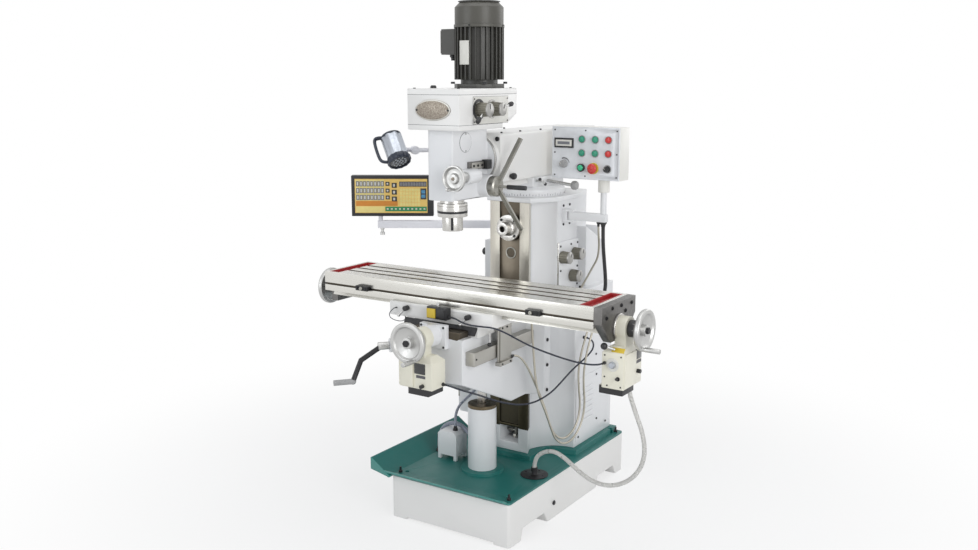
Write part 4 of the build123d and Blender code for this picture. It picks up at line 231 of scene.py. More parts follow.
fine = 0.000012  # depth of a finely ground or turned grain
finish = {
    # one white enamel in two copies: white is darker and bluer as painted shade on the column, knee, head
    # and other castings; warm is lighter as painted light on the base, saddle, ram and gearbox
    "white": enamel("whiteEnamelPaintedShade", (0.78, 0.787, 0.80)),
    "warm": enamel("warmEnamelPaintedLight", (0.825, 0.818, 0.80)),
    "cream": enamel("creamEnamel", (0.80, 0.775, 0.655), gloss=0.34),
    "boxCream": enamel("panelBoxCream", (0.82, 0.81, 0.765), gloss=0.36),
    "green": enamel("trayTeal", (0.007, 0.145, 0.130), gloss=0.4, coat=0.0),
    # the lip is the tray's teal paint made lighter as a painted sheen, with a glossier coat
    "greenLipPaintedSheen": enamel("trayLipPaintedSheen", (0.030, 0.235, 0.205), gloss=0.26, coat=0.5),
    "table": groundMetal("groundTable", (0.69, 0.68, 0.64), (5, 1600, 1600), rough=0.27, depth=fine,
                         film=0.94),
    # way: ground iron darkened toward the foot as painted shade under the knee, with oil
    "way": wayMetal("groundWay", (0.075, 0.066, 0.042), (0.70, 0.675, 0.615)),
    # slotWay and slot: dark oiled metal made darker as painted shade in the slot between the column ways, on
    # the knee top and in the table's slots
    "slotWay": wayMetal("oiledSlotPaintedShade", (0.040, 0.037, 0.026), (0.14, 0.12, 0.094)),
    "slot": groundMetal("slotFloorPaintedShade", (0.13, 0.112, 0.088), (500, 40, 20), rough=0.5, film=0.75),
    "steel": groundMetal("turnedSteel", (0.60, 0.59, 0.565), (60, 60, 900), rough=0.28, depth=fine),
    "steelAcross": groundMetal("turnedSteelAcross", (0.56, 0.55, 0.53), (60, 900, 60), depth=fine),
    "dull": groundMetal("dullNickel", (0.34, 0.335, 0.305), (120, 120, 300), rough=0.34, depth=fine),
    "chrome": groundMetal("platedSteel", (0.56, 0.56, 0.555), (300, 300, 300), rough=0.28, depth=0.000003,
                          film=0.95),
    "wheel": castMetal("polishedCasting", (0.56, 0.56, 0.55), rough=0.4, grit=0.00003),
    "iron": castMetal("darkIron", (0.20, 0.195, 0.19), rough=0.46),
    "bronze": castMetal("bronzeNut", (0.13, 0.105, 0.07), rough=0.42),
    "motor": enamel("motorCharcoal", (0.034, 0.033, 0.028), gloss=0.42, coat=0.1),
    "fan": enamel("fanCoverGrey", (0.072, 0.069, 0.058), gloss=0.45, coat=0.1),
    "olive": castMetal("knobOlive", (0.20, 0.19, 0.155), rough=0.42, metal=0.6),
    "cap": groundMetal("spunCap", (0.42, 0.415, 0.40), (900, 60, 60), rough=0.42, depth=0.00001),
    "screw": castMetal("blackScrew", (0.028, 0.028, 0.030), rough=0.38, metal=0.5, grit=0.00004),
    "navy": plastic("navyPlastic", (0.016, 0.024, 0.045), rough=0.36),
    "black": plastic("blackPlastic", (0.018, 0.018, 0.020)),
    "grey": plastic("greyPlastic", (0.36, 0.36, 0.36)),
    "rubber": rubber("blackRubber", (0.022, 0.022, 0.024)),
    "red": plastic("trayRed", (0.38, 0.008, 0.011), rough=0.46),
    "redButton": plastic("redButton", (0.66, 0.035, 0.030), rough=0.26, coat=0.3),
    "greenButton": plastic("greenButton", (0.030, 0.33, 0.20), rough=0.26, coat=0.3),
    "greenLamp": plastic("greenLamp", (0.03, 0.55, 0.27), rough=0.18, coat=0.5),
    "yellow": plastic("yellowPlate", (0.72, 0.52, 0.05), rough=0.4),
    "panelFace": plastic("panelFace", (0.78, 0.80, 0.83), rough=0.38),
    "mark": plastic("printedMark", (0.10, 0.10, 0.11), rough=0.5),
    "plate": groundMetal("nickelPlate", (0.45, 0.44, 0.41), (40, 700, 700), rough=0.42, depth=0.000015),
    "brass": agedMetal("agedBrass", (0.15, 0.125, 0.10), (0.31, 0.28, 0.24)),
    "silver": groundMetal("lampSilver", (0.46, 0.49, 0.54), (120, 120, 120), rough=0.38, depth=0.000008),
    "arm": enamel("armLavender", (0.90, 0.90, 0.95), gloss=0.32),
    "amber": plastic("amberFace", (0.97, 0.66, 0.19), rough=0.34),
    "amberPale": plastic("amberPale", (0.95, 0.80, 0.30), rough=0.34),
    "digit": screenGlass("digitGlass", (0.22, 0.22, 0.23)),
    "keyWhite": plastic("keyWhite", (0.74, 0.73, 0.68), rough=0.36),
    "keyGreen": plastic("keyGreen", (0.03, 0.27, 0.10), rough=0.36),
    "keyBlue": plastic("keyBlue", (0.09, 0.32, 0.55), rough=0.36),
    "keyOrange": plastic("keyOrange", (0.74, 0.28, 0.04), rough=0.36),
    "screen": screenGlass("screenGlass", (0.015, 0.016, 0.018)),
    "liquid": screenGlass("liquidCrystal", (0.20, 0.21, 0.235)),
    "hose": cloudyHose("cloudyHose", (0.76, 0.75, 0.72)),
    "blueHose": cloudyHose("blueHose", (0.40, 0.43, 0.52)),
    "armour": groundMetal("woundSheath", (0.50, 0.47, 0.40), (300, 300, 300), rough=0.36),
    "cable": rubber("blackCable", (0.014, 0.018, 0.036), rough=0.45),
}
print(len(finish), "finishes mixed")

# Shapes, drawn in millimetres

smoothing = {"piece": 40, "cord": 60}  # degrees up to which an edge looks smooth
rounding = {
    "segments": 2,
    "profile": 0.6,
    "sharp": 0.5,  # radians from which an edge is eased
    "share": 0.4,  # of the thinnest side, at most
}


def fullTurn(count):
    return [2 * math.pi * i / count for i in range(count)]


def resize(bm, factor):
    bmesh.ops.scale(bm, vec=(factor, factor, factor), verts=bm.verts)


def toObject(name, bm, looks, smooth=smoothing["piece"]):
    bmesh.ops.recalc_face_normals(bm, faces=bm.faces)
    mesh = bpy.data.meshes.new(name)
    bm.to_mesh(mesh)
    bm.free()
    for look in looks:
        mesh.materials.append(finish[look])
    mesh.set_sharp_from_angle(angle=math.radians(smooth))
    return intoScene(name, mesh)


def easeEdges(bm, lines, edge):
    # rounds edges over, and keeps the wide faces beside them flat
    made = bmesh.ops.bevel(bm, geom=lines, offset=edge, segments=rounding["segments"],
                           profile=rounding["profile"], affect="EDGES", clamp_overlap=False,
                           loop_slide=True, material=-1)
    for face in made["faces"]:
        face.smooth = True


class Piece:
    # one mesh piece, built up from simple solids that each carry a finish
    def __init__(self, name, body, slot=None):
        self.name, self.body, self.slot = name, body, slot
        self.bm = bmesh.new()
        self.looks = []

    def paint(self, faces, look):
        if look not in self.looks:
            self.looks.append(look)
        for face in faces:
            face.material_index = self.looks.index(look)

    def soften(self, look, verts, edge):
        faces = {face for vert in verts for face in vert.link_faces}
        self.paint(faces, look)
        bmesh.ops.recalc_face_normals(self.bm, faces=list(faces))
        lines = {line for vert in verts for line in vert.link_edges if len(line.link_faces) == 2}
        sharp = [line for line in lines if line.calc_face_angle() > rounding["sharp"]]
        if edge > 0 and sharp:
            easeEdges(self.bm, sharp, edge)

    def box(self, look, low, high, edge=1.0, turn=None):
        low, high = Vector(low), Vector(high)
        made = bmesh.ops.create_cube(self.bm, size=1)["verts"]
        size = high - low
        place = Matrix.Translation((low + high) / 2) @ Matrix.Diagonal((*size, 1))
        bmesh.ops.transform(self.bm, matrix=turn @ place if turn else place, verts=made)
        self.soften(look, made, min(edge, min(size) * rounding["share"]))

    def prism(self, look, outline, low, high, axis="z", edge=1.0):
        # an outline in the two other axes, drawn out along one
        def point(a, b, c):
            return {"x": (c, a, b), "y": (a, c, b), "z": (a, b, c)}[axis]

        rings = [[self.bm.verts.new(point(a, b, level)) for a, b in outline] for level in (low, high)]
        for ring in rings:
            self.bm.faces.new(ring)
        for i in range(len(outline)):
            self.bm.faces.new((rings[0][i - 1], rings[0][i], rings[1][i], rings[1][i - 1]))
        self.soften(look, rings[0] + rings[1], edge)

    def skin(self, look, rings, capped=True):
        # faces between rings of points, where a ring of one point is a tip
        steps = max(len(ring) for ring in rings)
        faces = []
        for first, second in zip(rings, rings[1:]):
            for i in range(steps):
                places = ((first, i), (first, i + 1), (second, i + 1), (second, i))
                corners = list(dict.fromkeys(ring[k % len(ring)] for ring, k in places))
                if len(corners) > 2:
                    faces.append(self.bm.faces.new(corners))
        for face in faces:
            face.smooth = True
        for ring in (rings[0], rings[-1]):
            if capped and len(ring) > 1:
                faces.append(self.bm.faces.new(ring))
        self.paint(faces, look)

    def lathe(self, look, profile, origin, axis, steps=36, wave=0.0, lobes=0, capped=True):
        # a profile of radius and distance turned about an axis, fluted where it has lobes
        axis = Vector(axis).normalized()
        side = axis.cross(Vector(toTop))
        side = side.normalized() if side.length > 0.1 else Vector(toRight)
        other = axis.cross(side)
        rings = []
        for radius, along in profile:
            centre = Vector(origin) + axis * along
            if radius < 1e-4:
                rings.append([self.bm.verts.new(centre)])
                continue
            ring = []
            for angle in fullTurn(steps):
                out = radius * (1 - wave * (0.5 - 0.5 * math.cos(lobes * angle)))
                away = side * math.cos(angle) + other * math.sin(angle)
                ring.append(self.bm.verts.new(centre + away * out))
            rings.append(ring)
        self.skin(look, rings, capped)

    def rod(self, look, start, end, radius, edge=0.6, steps=24):
        run = Vector(end) - Vector(start)
        edge = min(edge, radius * rounding["share"], run.length * rounding["share"])
        profile = [(0, 0), (radius - edge, 0), (radius, edge), (radius, run.length - edge)]
        self.lathe(look, profile + [(radius - edge, run.length), (0, run.length)], start, run, steps)

    def ring(self, look, origin, axis, outer, inner, low, high, steps=48):
        edge = min(outer - inner, high - low) * 0.2
        profile = [(inner, low + edge), (inner + edge, low), (outer - edge, low), (outer, low + edge)]
        profile += [(outer, high - edge), (outer - edge, high), (inner + edge, high), (inner, high - edge)]
        self.lathe(look, profile + profile[:1], origin, axis, steps, capped=False)

    def screw(self, place, axis, radius=5.0, height=4.0):
        # socket head screw
        profile = [(0, 0.35), (0.5, 0.35), (0.52, 0.96), (0.82, 1), (1, 0.8), (1, 0), (0, 0)]
        self.lathe("screw", [(radius * out, height * along) for out, along in profile], place, axis, 18)

    def hexBolt(self, place, axis, radius, height, look="screw"):
        profile = [(0, height), (radius * 0.85, height), (radius, height * 0.85), (radius, 0), (0, 0)]
        self.lathe(look, profile, place, axis, 6)

    def ball(self, look, centre, radius, steps=28):
        half = steps // 2
        turns = [math.pi * i / half for i in range(1, half)]
        profile = [(radius * math.sin(turn), -radius * math.cos(turn)) for turn in turns]
        self.lathe(look, [(0, -radius), *profile, (0, radius)], centre, toTop, steps)

    def sweep(self, look, points, radius, sides=10, flat=1.0):
        points = [Vector(point) for point in points]
        rings = []
        across = None
        for i, point in enumerate(points):
            ahead = (points[min(i + 1, len(points) - 1)] - points[max(i - 1, 0)]).normalized()
            across = across - ahead * across.dot(ahead) if across else ahead.orthogonal()
            across.normalize()
            other = ahead.cross(across) * flat
            size = radius[i] if isinstance(radius, list) else radius
            turned = [point + (across * math.cos(a) + other * math.sin(a)) * size for a in fullTurn(sides)]
            rings.append([self.bm.verts.new(spot) for spot in turned])
        self.skin(look, rings)

    def done(self, replaces=None):
        resize(self.bm, milli)
        made = toObject(self.name, self.bm, self.looks)
        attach(made, self.body)
        if replaces:
            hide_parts(replaces)


def oval(half, height, across, up, count=40):
    return [(across + half * math.cos(turn), up + height * math.sin(turn)) for turn in fullTurn(count)]


def around(centre, axis, degrees):
    # a frame turned about an axis through a point
    return Matrix.Translation(centre) @ Matrix.Rotation(math.radians(degrees), 4, axis)


# Round copies of the CAD nodes

copying = {
    "weld": 1e-5,  # metres between corners that are one
    "flat": 0.6,  # degrees between faces that are one
    "sharp": 28,  # degrees from which an edge is eased
    "room": 2.3,  # roundings that have to fit on the faces beside it
    "facet": (0.01, 0.56),  # radians between the facets of a round side
    "facetShare": 0.25,  # least size of a facet beside its neighbour
}


def reachFrom(line, face):
    # how far a face reaches from one of its edges
    foot = line.verts[0].co
    run = (line.verts[1].co - foot).normalized()
    return max(((vert.co - foot) - run * (vert.co - foot).dot(run)).length for vert in face.verts)


def canEase(line, edge):
    if len(line.link_faces) != 2 or line.calc_face_angle() < math.radians(copying["sharp"]):
        return False
    if any(len(other.link_faces) != 2 for vert in line.verts for other in vert.link_edges):
        return False
    return all(reachFrom(line, face) > copying["room"] * edge for face in line.link_faces)


def isCurved(face):
    # one of a run of facets, not a flat side
    low, high = copying["facet"]
    least = copying["facetShare"] * face.calc_area()
    for line in face.edges:
        if len(line.link_faces) == 2 and low < line.calc_face_angle() < high:
            if any(other != face and other.calc_area() > least for other in line.link_faces):
                return True
    return False


def mergeFlat(bm):
    bmesh.ops.dissolve_limit(bm, angle_limit=math.radians(copying["flat"]), verts=bm.verts, edges=bm.edges)


def roundCopy(node, look, edge, picks=(), cuts=(), drops=()):
    # stands for a CAD node, with its edges eased and each face given its finish
    bm = bmesh.new()
    bm.from_mesh(nodes[node].data)
    bmesh.ops.remove_doubles(bm, verts=bm.verts, dist=copying["weld"])
    resize(bm, 1 / milli)
    mergeFlat(bm)
    twins = {}
    for face in bm.faces:
        twins.setdefault(frozenset(face.verts), []).append(face)
    inner = [face for pair in twins.values() if len(pair) > 1 for face in pair]
    if inner:  # where two solids meet inside
        bmesh.ops.delete(bm, geom=inner, context="FACES_ONLY")
        mergeFlat(bm)
    gone = [face for face in bm.faces if any(test(face) for test in drops)]
    if gone:  # what a cord stands for
        bmesh.ops.delete(bm, geom=gone, context="FACES")
    for level in cuts:
        whole = bm.verts[:] + bm.edges[:] + bm.faces[:]
        bmesh.ops.bisect_plane(bm, geom=whole, plane_co=(0, 0, level), plane_no=toTop)
    for face in bm.faces:
        for number, (other, test) in enumerate(picks, 1):
            if test(face):
                face.material_index = number
    for face in bm.faces:
        face.smooth = isCurved(face)
    sharp = [line for line in bm.edges if canEase(line, edge)]
    if sharp:
        easeEdges(bm, sharp, edge)
    resize(bm, milli)
    made = toObject(node + ".eased", bm, [look] + [other for other, test in picks])
    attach(made, homeBody[node])
    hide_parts(node)


# Cords, with their routes in millimetres and the glands at their ends

cordSides = 12
smoothCord = {"rib": 0.0, "swell": 0.0, "stiffness": "limp"}
blackCable = {**smoothCord, "look": "cable"}
coolantHose = {**smoothCord, "look": "blueHose", "slot": "hose_grey", "stiffness": "medium"}
armoured = {"look": "armour", "diameter": 0.009, "rib": 0.0045, "swell": 0.09, "stiffness": "limp"}
cords = {
    "drainHose": {
        "node": "drain_hose", "look": "hose", "diameter": 0.018, "rib": 0.006, "swell": 0.05,
        "stiffness": "medium",
        "route": ((651, -256, 885), (651, -256, 820), (658, -261, 740), (673, -269, 654), (706, -274, 574),
                  (742, -278, 496), (753, -277, 420), (731, -267, 348), (676, -256, 282), (594, -246, 240),
                  (508, -236, 240), (438, -226, 268), (378, -216, 302), (318, -204, 318), (258, -193, 298),
                  (217, -189, 256), (217, -189, 210)),
        "bodies": ("table", "saddle", "knee", "stand"),
        "glands": (),
    },
    "switchCable": {
        **blackCable, "node": "switch_cable", "diameter": 0.0064,
        "route": ((26, -529, 905), (56, -529, 905), (90, -546, 900), (138, -556, 894), (192, -552, 894),
                  (240, -541, 894), (288, -526, 877), (336, -511, 852), (390, -494, 828), (448, -478, 810),
                  (510, -472, 798), (570, -475, 793), (624, -476, 794), (652, -459, 797), (652, -432, 797)),
        "bodies": ("saddle", "table"),
        "glands": (("switchGland", toRight), ("longGland", toFront)),
    },
    "feedCable": {
        **blackCable, "node": "feed_cable", "diameter": 0.0072,
        "route": ((230, 204, 696), (256, 204, 696), (280, 200, 684), (291, 184, 662), (288, 152, 641),
                  (281, 104, 622), (273, 52, 604), (265, 2, 582), (257, -46, 556), (246, -94, 530),
                  (231, -146, 512), (213, -202, 502), (188, -262, 506), (164, -322, 525), (147, -382, 550),
                  (137, -440, 578), (132, -496, 604), (131, -548, 626), (132, -594, 646), (127, -629, 662),
                  (106, -641, 672), (76, -641, 672)),
        "bodies": ("stand", "knee"),
        "glands": (("feedGland", toRight), ("crossGland", toRight)),
    },
    "scaleCable": {
        **armoured, "node": "scale_cable",
        "route": ((230, 170, 830), (258, 170, 830), (280, 161, 806), (285, 142, 756), (278, 116, 694),
                  (270, 98, 628), (266, 93, 560), (266, 101, 492), (267, 113, 428), (265, 108, 366),
                  (259, 78, 316), (250, 28, 290), (241, -24, 300), (233, -64, 338), (227, -88, 390),
                  (221, -104, 442), (213, -124, 494), (205, -148, 546), (197, -174, 598), (188, -200, 650),
                  (178, -232, 694), (169, -266, 716), (169, -302, 716)),
        "bodies": ("stand", "knee", "saddle"),
        "glands": (("scaleGland", toRight), ("readerGland", toRear)),
    },
    "panelConduit": {
        "node": "panel_conduit", "look": "rubber", "diameter": 0.016, "rib": 0.005, "swell": 0.06,
        "stiffness": "medium",
        "route": ((354, 125, 1223), (354, 125, 1172), (353, 133, 1110), (352, 148, 1048), (348, 168, 988),
                  (338, 192, 932), (316, 214, 888), (280, 228, 864), (230, 228, 864)),
        "bodies": ("panel_arm", "stand"),
        "glands": (("conduitTopGland", toFloor), ("conduitGland", toRight)),
    },
    "panelCable": {
        **armoured, "slot": "armoured_cable",
        "route": ((332, 125, 1223), (332, 126, 1180), (330, 140, 1120), (312, 165, 1060), (274, 186, 1010),
                  (244, 197, 962), (224, 199, 930), (212, 198, 905)),
        "bodies": ("panel_arm", "stand"),
        "glands": (("panelCableTopGland", toFloor), ("panelCableGland", toTop)),
    },
    "twinCable": {
        **armoured, "slot": "armoured_cable",
        "route": ((230, 192, 812), (258, 192, 812), (288, 184, 790), (300, 154, 745), (298, 126, 694),
                  (292, 108, 628), (286, 104, 560), (284, 112, 495), (284, 124, 430), (280, 118, 360),
                  (270, 84, 296), (258, 30, 268), (250, -26, 280), (246, -72, 318), (240, -100, 380),
                  (232, -122, 438), (222, -142, 490), (213, -160, 540), (207, -172, 610), (205, -180, 690),
                  (205, -190, 760), (205, -198, 815), (205, -200, 850), (205, -200, 876)),
        "bodies": ("stand", "knee", "saddle"),
        "glands": (("twinGland", toRight), ("twinTopGland", toFloor)),
    },
    "oilLine": {
        **blackCable, "slot": "black_rubber", "diameter": 0.003,
        "route": ((-240, -512, 908), (-240, -524, 908), (-247, -534, 902), (-260, -537, 886),
                  (-258, -534, 868), (-240, -524, 857), (-222, -508, 852), (-214, -494, 856),
                  (-214, -490, 866), (-214, -490, 876)),
        "bodies": ("saddle",),
        "glands": (("oilGland", toFront), ("oilTopGland", toFloor)),
    },
    "pumpHose": {
        **coolantHose, "diameter": 0.018,
        "route": ((-278, -176, 188), (-278, -176, 215), (-278, -177, 243), (-266, -177, 289),
                  (-234, -178, 323), (-188, -178, 336), (-142, -178, 323), (-110, -177, 289),
                  (-98, -177, 243), (-98, -176, 215), (-98, -176, 188)),
        "bodies": ("stand",),
        "glands": (("pumpGland", toTop), ("pumpFloorGland", toTop)),
    },
    "riserHose": {
        **coolantHose, "diameter": 0.012,
        "route": ((-165, -215, 316), (-165, -215, 352), (-176, -196, 384), (-196, -140, 402),
                  (-205, -80, 412), (-206, -30, 424), (-206, 40, 450), (-206, 100, 470), (-206, 130, 474)),
        "bodies": ("stand",),
        "glands": (("riserGland", toTop), ("riserTopGland", toFront)),
    },
}


def splineOf(name, route):
    # points along the smooth line of a route, in metres
    curve = bpy.data.curves.new(name, "CURVE")
    curve.dimensions = "3D"
    line = curve.splines.new("NURBS")
    line.points.add(len(route) - 1)
    for spot, place in zip(line.points, route):
        spot.co = (*[value * milli for value in place], 1)
    line.order_u = 3
    line.use_endpoint_u = True
    line.resolution_u = 40
    holder = intoScene(name, curve)
    bpy.context.view_layer.update()
    mesh = bpy.data.meshes.new_from_object(holder)
    points = [vert.co.copy() for vert in mesh.vertices]
    bpy.data.objects.remove(holder)
    return points


def layCord(name, facts):
    # one piece for each joint that the cord crosses
    points = splineOf(name, facts["route"])
    travelled = [0.0]
    for before, after in zip(points, points[1:]):
        travelled.append(travelled[-1] + (after - before).length)
    bodies = facts["bodies"]
    spans = max(1, len(bodies) - 1)

    def nearest(span):
        return min(range(len(points)), key=lambda i: abs(travelled[i] - travelled[-1] * span / spans))

    for span in range(spans):
        first, last = nearest(span), nearest(span + 1)
        part = points[first:last + 1]
        size = facts["diameter"] / 2
        radii = [size] * len(part)
        if facts["rib"]:
            turns = [2 * math.pi * reach / facts["rib"] for reach in travelled[first:last + 1]]
            radii = [size * (1 - facts["swell"] * (0.5 + 0.5 * math.cos(turn))) for turn in turns]
        label = name + (str(span + 1) if spans > 1 else "")
        piece = Piece(label, None)
        piece.sweep(facts["look"], part, radii, cordSides)
        made = toObject(label, piece.bm, piece.looks, smoothing["cord"])
        if len(bodies) > 1:
            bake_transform(made)
        else:
            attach(made, bodies[0])
        if "node" in facts:
            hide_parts(facts["node"])


for cordName, cordFacts in cords.items():
    layCord(cordName, cordFacts)
print("cords laid")

# CAD nodes that keep their form, places in millimetres

anywhere = (-1e6, 1e6)


def over(level):
    return (level, anywhere[1])


def under(level):
    return (anywhere[0], level)


def within(x=anywhere, y=anywhere, z=anywhere, rearward=anywhere, upward=anywhere):
    # tells whether a face's middle and its facing lie inside these ranges
    def test(face):
        values = (*face.calc_center_median(), face.normal.y, face.normal.z)
        return all(low < value < high for value, (low, high) in zip(values, (x, y, z, rearward, upward)))

    return test


wayHeight = (313, 1303)
gearboxSeams = (1641.1, 1752.1)
lockKnob = [("black", within(z=over(902)))]
pumpArch = [within(x=under(0), y=over(-162.9)),
            within(x=under(0), y=over(-163.6), rearward=under(0.9))]  # but not the pump's back
# look warm is the lit copy of the white enamel and white the shaded copy, painted light and painted shade
castings = {
    "base_casting": {"look": "warm", "edge": 4.0},
    "chip_tray": {"look": "green", "edge": 1.6, "picks": [
        # the front lip takes the lighter teal, a painted sheen on the same paint
        ("greenLipPaintedSheen", within(y=under(-495), upward=over(-0.2)))]},
    "screw_pedestal": {"look": "white", "edge": 1.5, "picks": [("bronze", within(z=over(465)))]},
    "coolant_fittings": {"look": "white", "edge": 1.2, "drops": pumpArch, "picks": [
        ("screw", within(x=over(100)))]},
    "column_casting": {"look": "white", "edge": 3.0, "cuts": wayHeight[:1], "picks": [
        ("way", within((-98.5, 98.5), under(4), wayHeight)),
        # the slot between the ways is dark with painted shade and oil
        ("slotWay", within((-49, 49), (-42, 4), wayHeight))]},
    "column_covers": {"look": "white", "edge": 1.2, "picks": [("steelAcross", within(y=under(80)))]},
    "horizontal_spindle": {"look": "steelAcross", "edge": 1.0},
    "electrical_cabinet": {"look": "white", "edge": 2.5},
    "arm_brackets": {"look": "white", "edge": 1.5},
    "knee_casting": {"look": "white", "edge": 3.0, "picks": [
        # the knee top takes the dark slot metal as painted shade under the saddle
        ("slot", within(z=over(833.4))),
        ("plate", within(over(122.5), under(-108), (730, 787)))]},
    "elevating_screw": {"look": "steel", "edge": 1.0},
    "crank_handle": {"look": "screw", "edge": 0.8, "picks": [
        ("grey", within(y=under(-763), z=under(672))),
        ("wheel", within(y=over(-694), z=over(777)))]},
    "cross_feed_unit": {"look": "cream", "edge": 2.2, "picks": [
        ("black", within(z=under(660))),
        ("white", within(y=over(-645), z=over(790))),
        ("steelAcross", within(y=under(-696.5), z=over(815)))]},
    "cross_handwheel": {"look": "wheel", "edge": 1.0},
    "saddle_casting": {"look": "warm", "edge": 2.5, "picks": [("plate", within(x=over(151), z=under(878)))]},
    "limit_switch": {"look": "black", "edge": 2.0},
    "way_cover": {"look": "rubber", "edge": 1.5},
    "table_casting": {"look": "table", "edge": 1.2, "picks": [
        # the T-slots and a narrow recess on the front take the dark slot metal, painted shade in these
        # recesses
        ("slot", within(y=(-435, -276), z=(970, 1011), upward=over(-0.5))),
        ("slot", within(y=(-497, -485.5), z=(957, 967)))]},
    "trough_trays": {"look": "red", "edge": 1.0},
    "table_end_brackets": {"look": "iron", "edge": 2.0},
    "table_handwheels": {"look": "wheel", "edge": 1.0},
    "long_feed_unit": {"look": "cream", "edge": 2.2, "picks": [
        ("black", within(z=under(701))),
        ("black", within(x=over(714.5), z=over(885)))]},
    "turret_base": {"look": "white", "edge": 2.5},
    "ram": {"look": "warm", "edge": 3.0},
    "head_casting": {"look": "white", "edge": 3.0},
    "gearbox_housing": {"look": "warm", "edge": 2.5,
                        "cuts": [level + side for level in gearboxSeams for side in (-0.7, 0.7)],
                        "picks": [("mark", within(z=(level - 0.6, level + 0.6))) for level in gearboxSeams]},
    "motor": {"look": "motor", "edge": 0.8, "picks": [("fan", within(z=over(2003.5)))]},
    "quill": {"look": "steel", "edge": 1.2},
    "vertical_spindle": {"look": "steel", "edge": 1.2},
    "quill_lever": {"look": "dull", "edge": 1.0, "picks": [("black", within(x=over(171.5)))]},
    "fine_feed_wheel": {"look": "wheel", "edge": 0.8},
    "panel_arm": {"look": "white", "edge": 2.0},
    "panel_box": {"look": "boxCream", "edge": 2.0, "picks": [
        ("panelFace", within((146, 441), under(71), rearward=under(-0.9)))]},
    "readout_arm": {"look": "arm", "edge": 2.0},
    "readout_console": {"look": "black", "edge": 3.0},
    "lamp_arm": {"look": "arm", "edge": 1.0},
    "table_lock_left": {"look": "chrome", "edge": 0.4, "picks": lockKnob},
    "table_lock_right": {"look": "chrome", "edge": 0.4, "picks": lockKnob},
    "table_stop_left": {"look": "screw", "edge": 1.5},
    "table_stop_right": {"look": "screw", "edge": 1.5},
}
for node, facts in castings.items():
    roundCopy(node, **facts)
print(len(castings), "nodes dressed")

# Knobs on the column and the gearbox

knobs = {"radius": 27, "stem": 9, "flutes": 20, "depth": 0.06, "capHeight": 6}
knobPlaces = {
    "gear_knob_1": {"at": (173, 98, 1062), "length": 46, "pointer": 62},
    "gear_knob_2": {"at": (173, 207, 1064), "length": 46, "pointer": 70},
    "gear_knob_3": {"at": (173, 186, 970), "length": 46, "pointer": 80},
    "head_knob_1": {"at": (118, -456, 1697), "length": 55, "pointer": 100, "lever": (150, -496, 1664)},
    "head_knob_2": {"at": (118, -366, 1697), "length": 55, "pointer": 60, "lever": (150, -287, 1712)},
}


def makeKnob(node, facts):
    place = x, y, z = facts["at"]
    long, wide = facts["length"], knobs["radius"]
    neck = long - knobs["capHeight"]
    piece = Piece(node + ".turned", node, nodeSlot[node])
    grip = [(0, 2), (wide * 0.98, 2), (wide, 4), (wide * 0.96, long * 0.55), (wide * 0.9, long * 0.8)]
    grip += [(wide * 0.88, neck), (0, neck)]
    piece.lathe("olive", grip, place, toRight, 80, knobs["depth"], knobs["flutes"])
    cap = [(0, neck - 0.5), (wide * 0.93, neck - 0.5), (wide * 0.93, long - 1.5)]
    cap += [(wide * 0.86, long), (0, long)]
    piece.lathe("cap", cap, place, toRight, 48)
    turn = around(place, "X", facts["pointer"])
    piece.box("screw", (long - 0.4, 3, -2.6), (long + 0.5, wide * 0.8, 2.6), 0.3, turn)
    piece.rod("steelAcross", (x - 8, y, z), (x + 2.5, y, z), knobs["stem"])
    if "lever" in facts:
        tip = Vector(facts["lever"])
        foot = Vector((tip.x, y, z))
        piece.rod("chrome", foot, tip, 4)
        handle = [(0, -8), (6, -6), (8.5, 2), (9.5, 12), (8, 19), (4, 22), (0, 22.5)]
        piece.lathe("black", handle, tip, tip - foot, 24)
    piece.done(node)


for node, facts in knobPlaces.items():
    makeKnob(node, facts)
print("knobs turned")

# Push buttons, stop button, selector and dial on the panel

panel = {"front": 70, "button": 13, "out": 12, "stem": 14}
pushButtons = [f"push_button_{number}" for number in range(1, 7)]
turnedControls = {
    "panel_selector": {"look": "black", "radius": 13},
    "panel_dial": {"look": "grey", "radius": 17},
}


def onPanel(node):
    low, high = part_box(node)
    middle = (low + high) / 2 / milli
    return Vector((middle.x, panel["front"], middle.z))


def makeButton(node):
    look = "redButton" if nodeSlot[node] == "red_button" else "greenButton"
    wide, out, stem = panel["button"], panel["out"], panel["stem"]
    piece = Piece(node + ".domed", node, nodeSlot[node])
    profile = [(0, -stem), (wide - 0.2, -stem), (wide - 0.2, 3), (wide - 1.2, 3.5), (wide - 1.2, out - 3)]
    profile += [(wide - 2.2, out - 1.2), (wide * 0.5, out - 0.3), (0, out)]
    piece.lathe(look, profile, onPanel(node), toFront, 40)
    piece.done(node)


def makeStop(node):
    place = onPanel(node)
    stem = Vector((0, panel["stem"], 0))
    piece = Piece(node + ".domed", node, nodeSlot[node])
    piece.rod("redButton", place + stem, place - stem, panel["button"] - 0.2)
    mushroom = [(0, 13), (15, 13), (19.5, 14.5), (21, 17), (21, 19), (18.5, 23), (12, 25.3), (0, 26)]
    piece.lathe("redButton", mushroom, place, toFront, 48)
    piece.done(node)


def makeTurned(node, look, radius):
    place = onPanel(node)
    piece = Piece(node + ".turned", node, nodeSlot[node])
    piece.rod(look, place + Vector((0, panel["stem"], 0)), place, 8.8)
    profile = [(0, 0.4), (radius, 0.4), (radius, 5), (radius * 0.86, 7), (radius * 0.82, 22)]
    profile += [(radius * 0.72, 24), (0, 24)]
    piece.lathe(look, profile, place, toFront, 60, 0.05, 18)
    turn = around(place, "Y", -55)
    piece.box("keyWhite", (-1.1, -24.5, radius * 0.2), (1.1, -23.6, radius * 0.72), 0.2, turn)
    piece.done(node)


for node in pushButtons:
    makeButton(node)
makeStop("emergency_stop")
for node, facts in turnedControls.items():
    makeTurned(node, **facts)
print("panel controls made")

# Work lamp

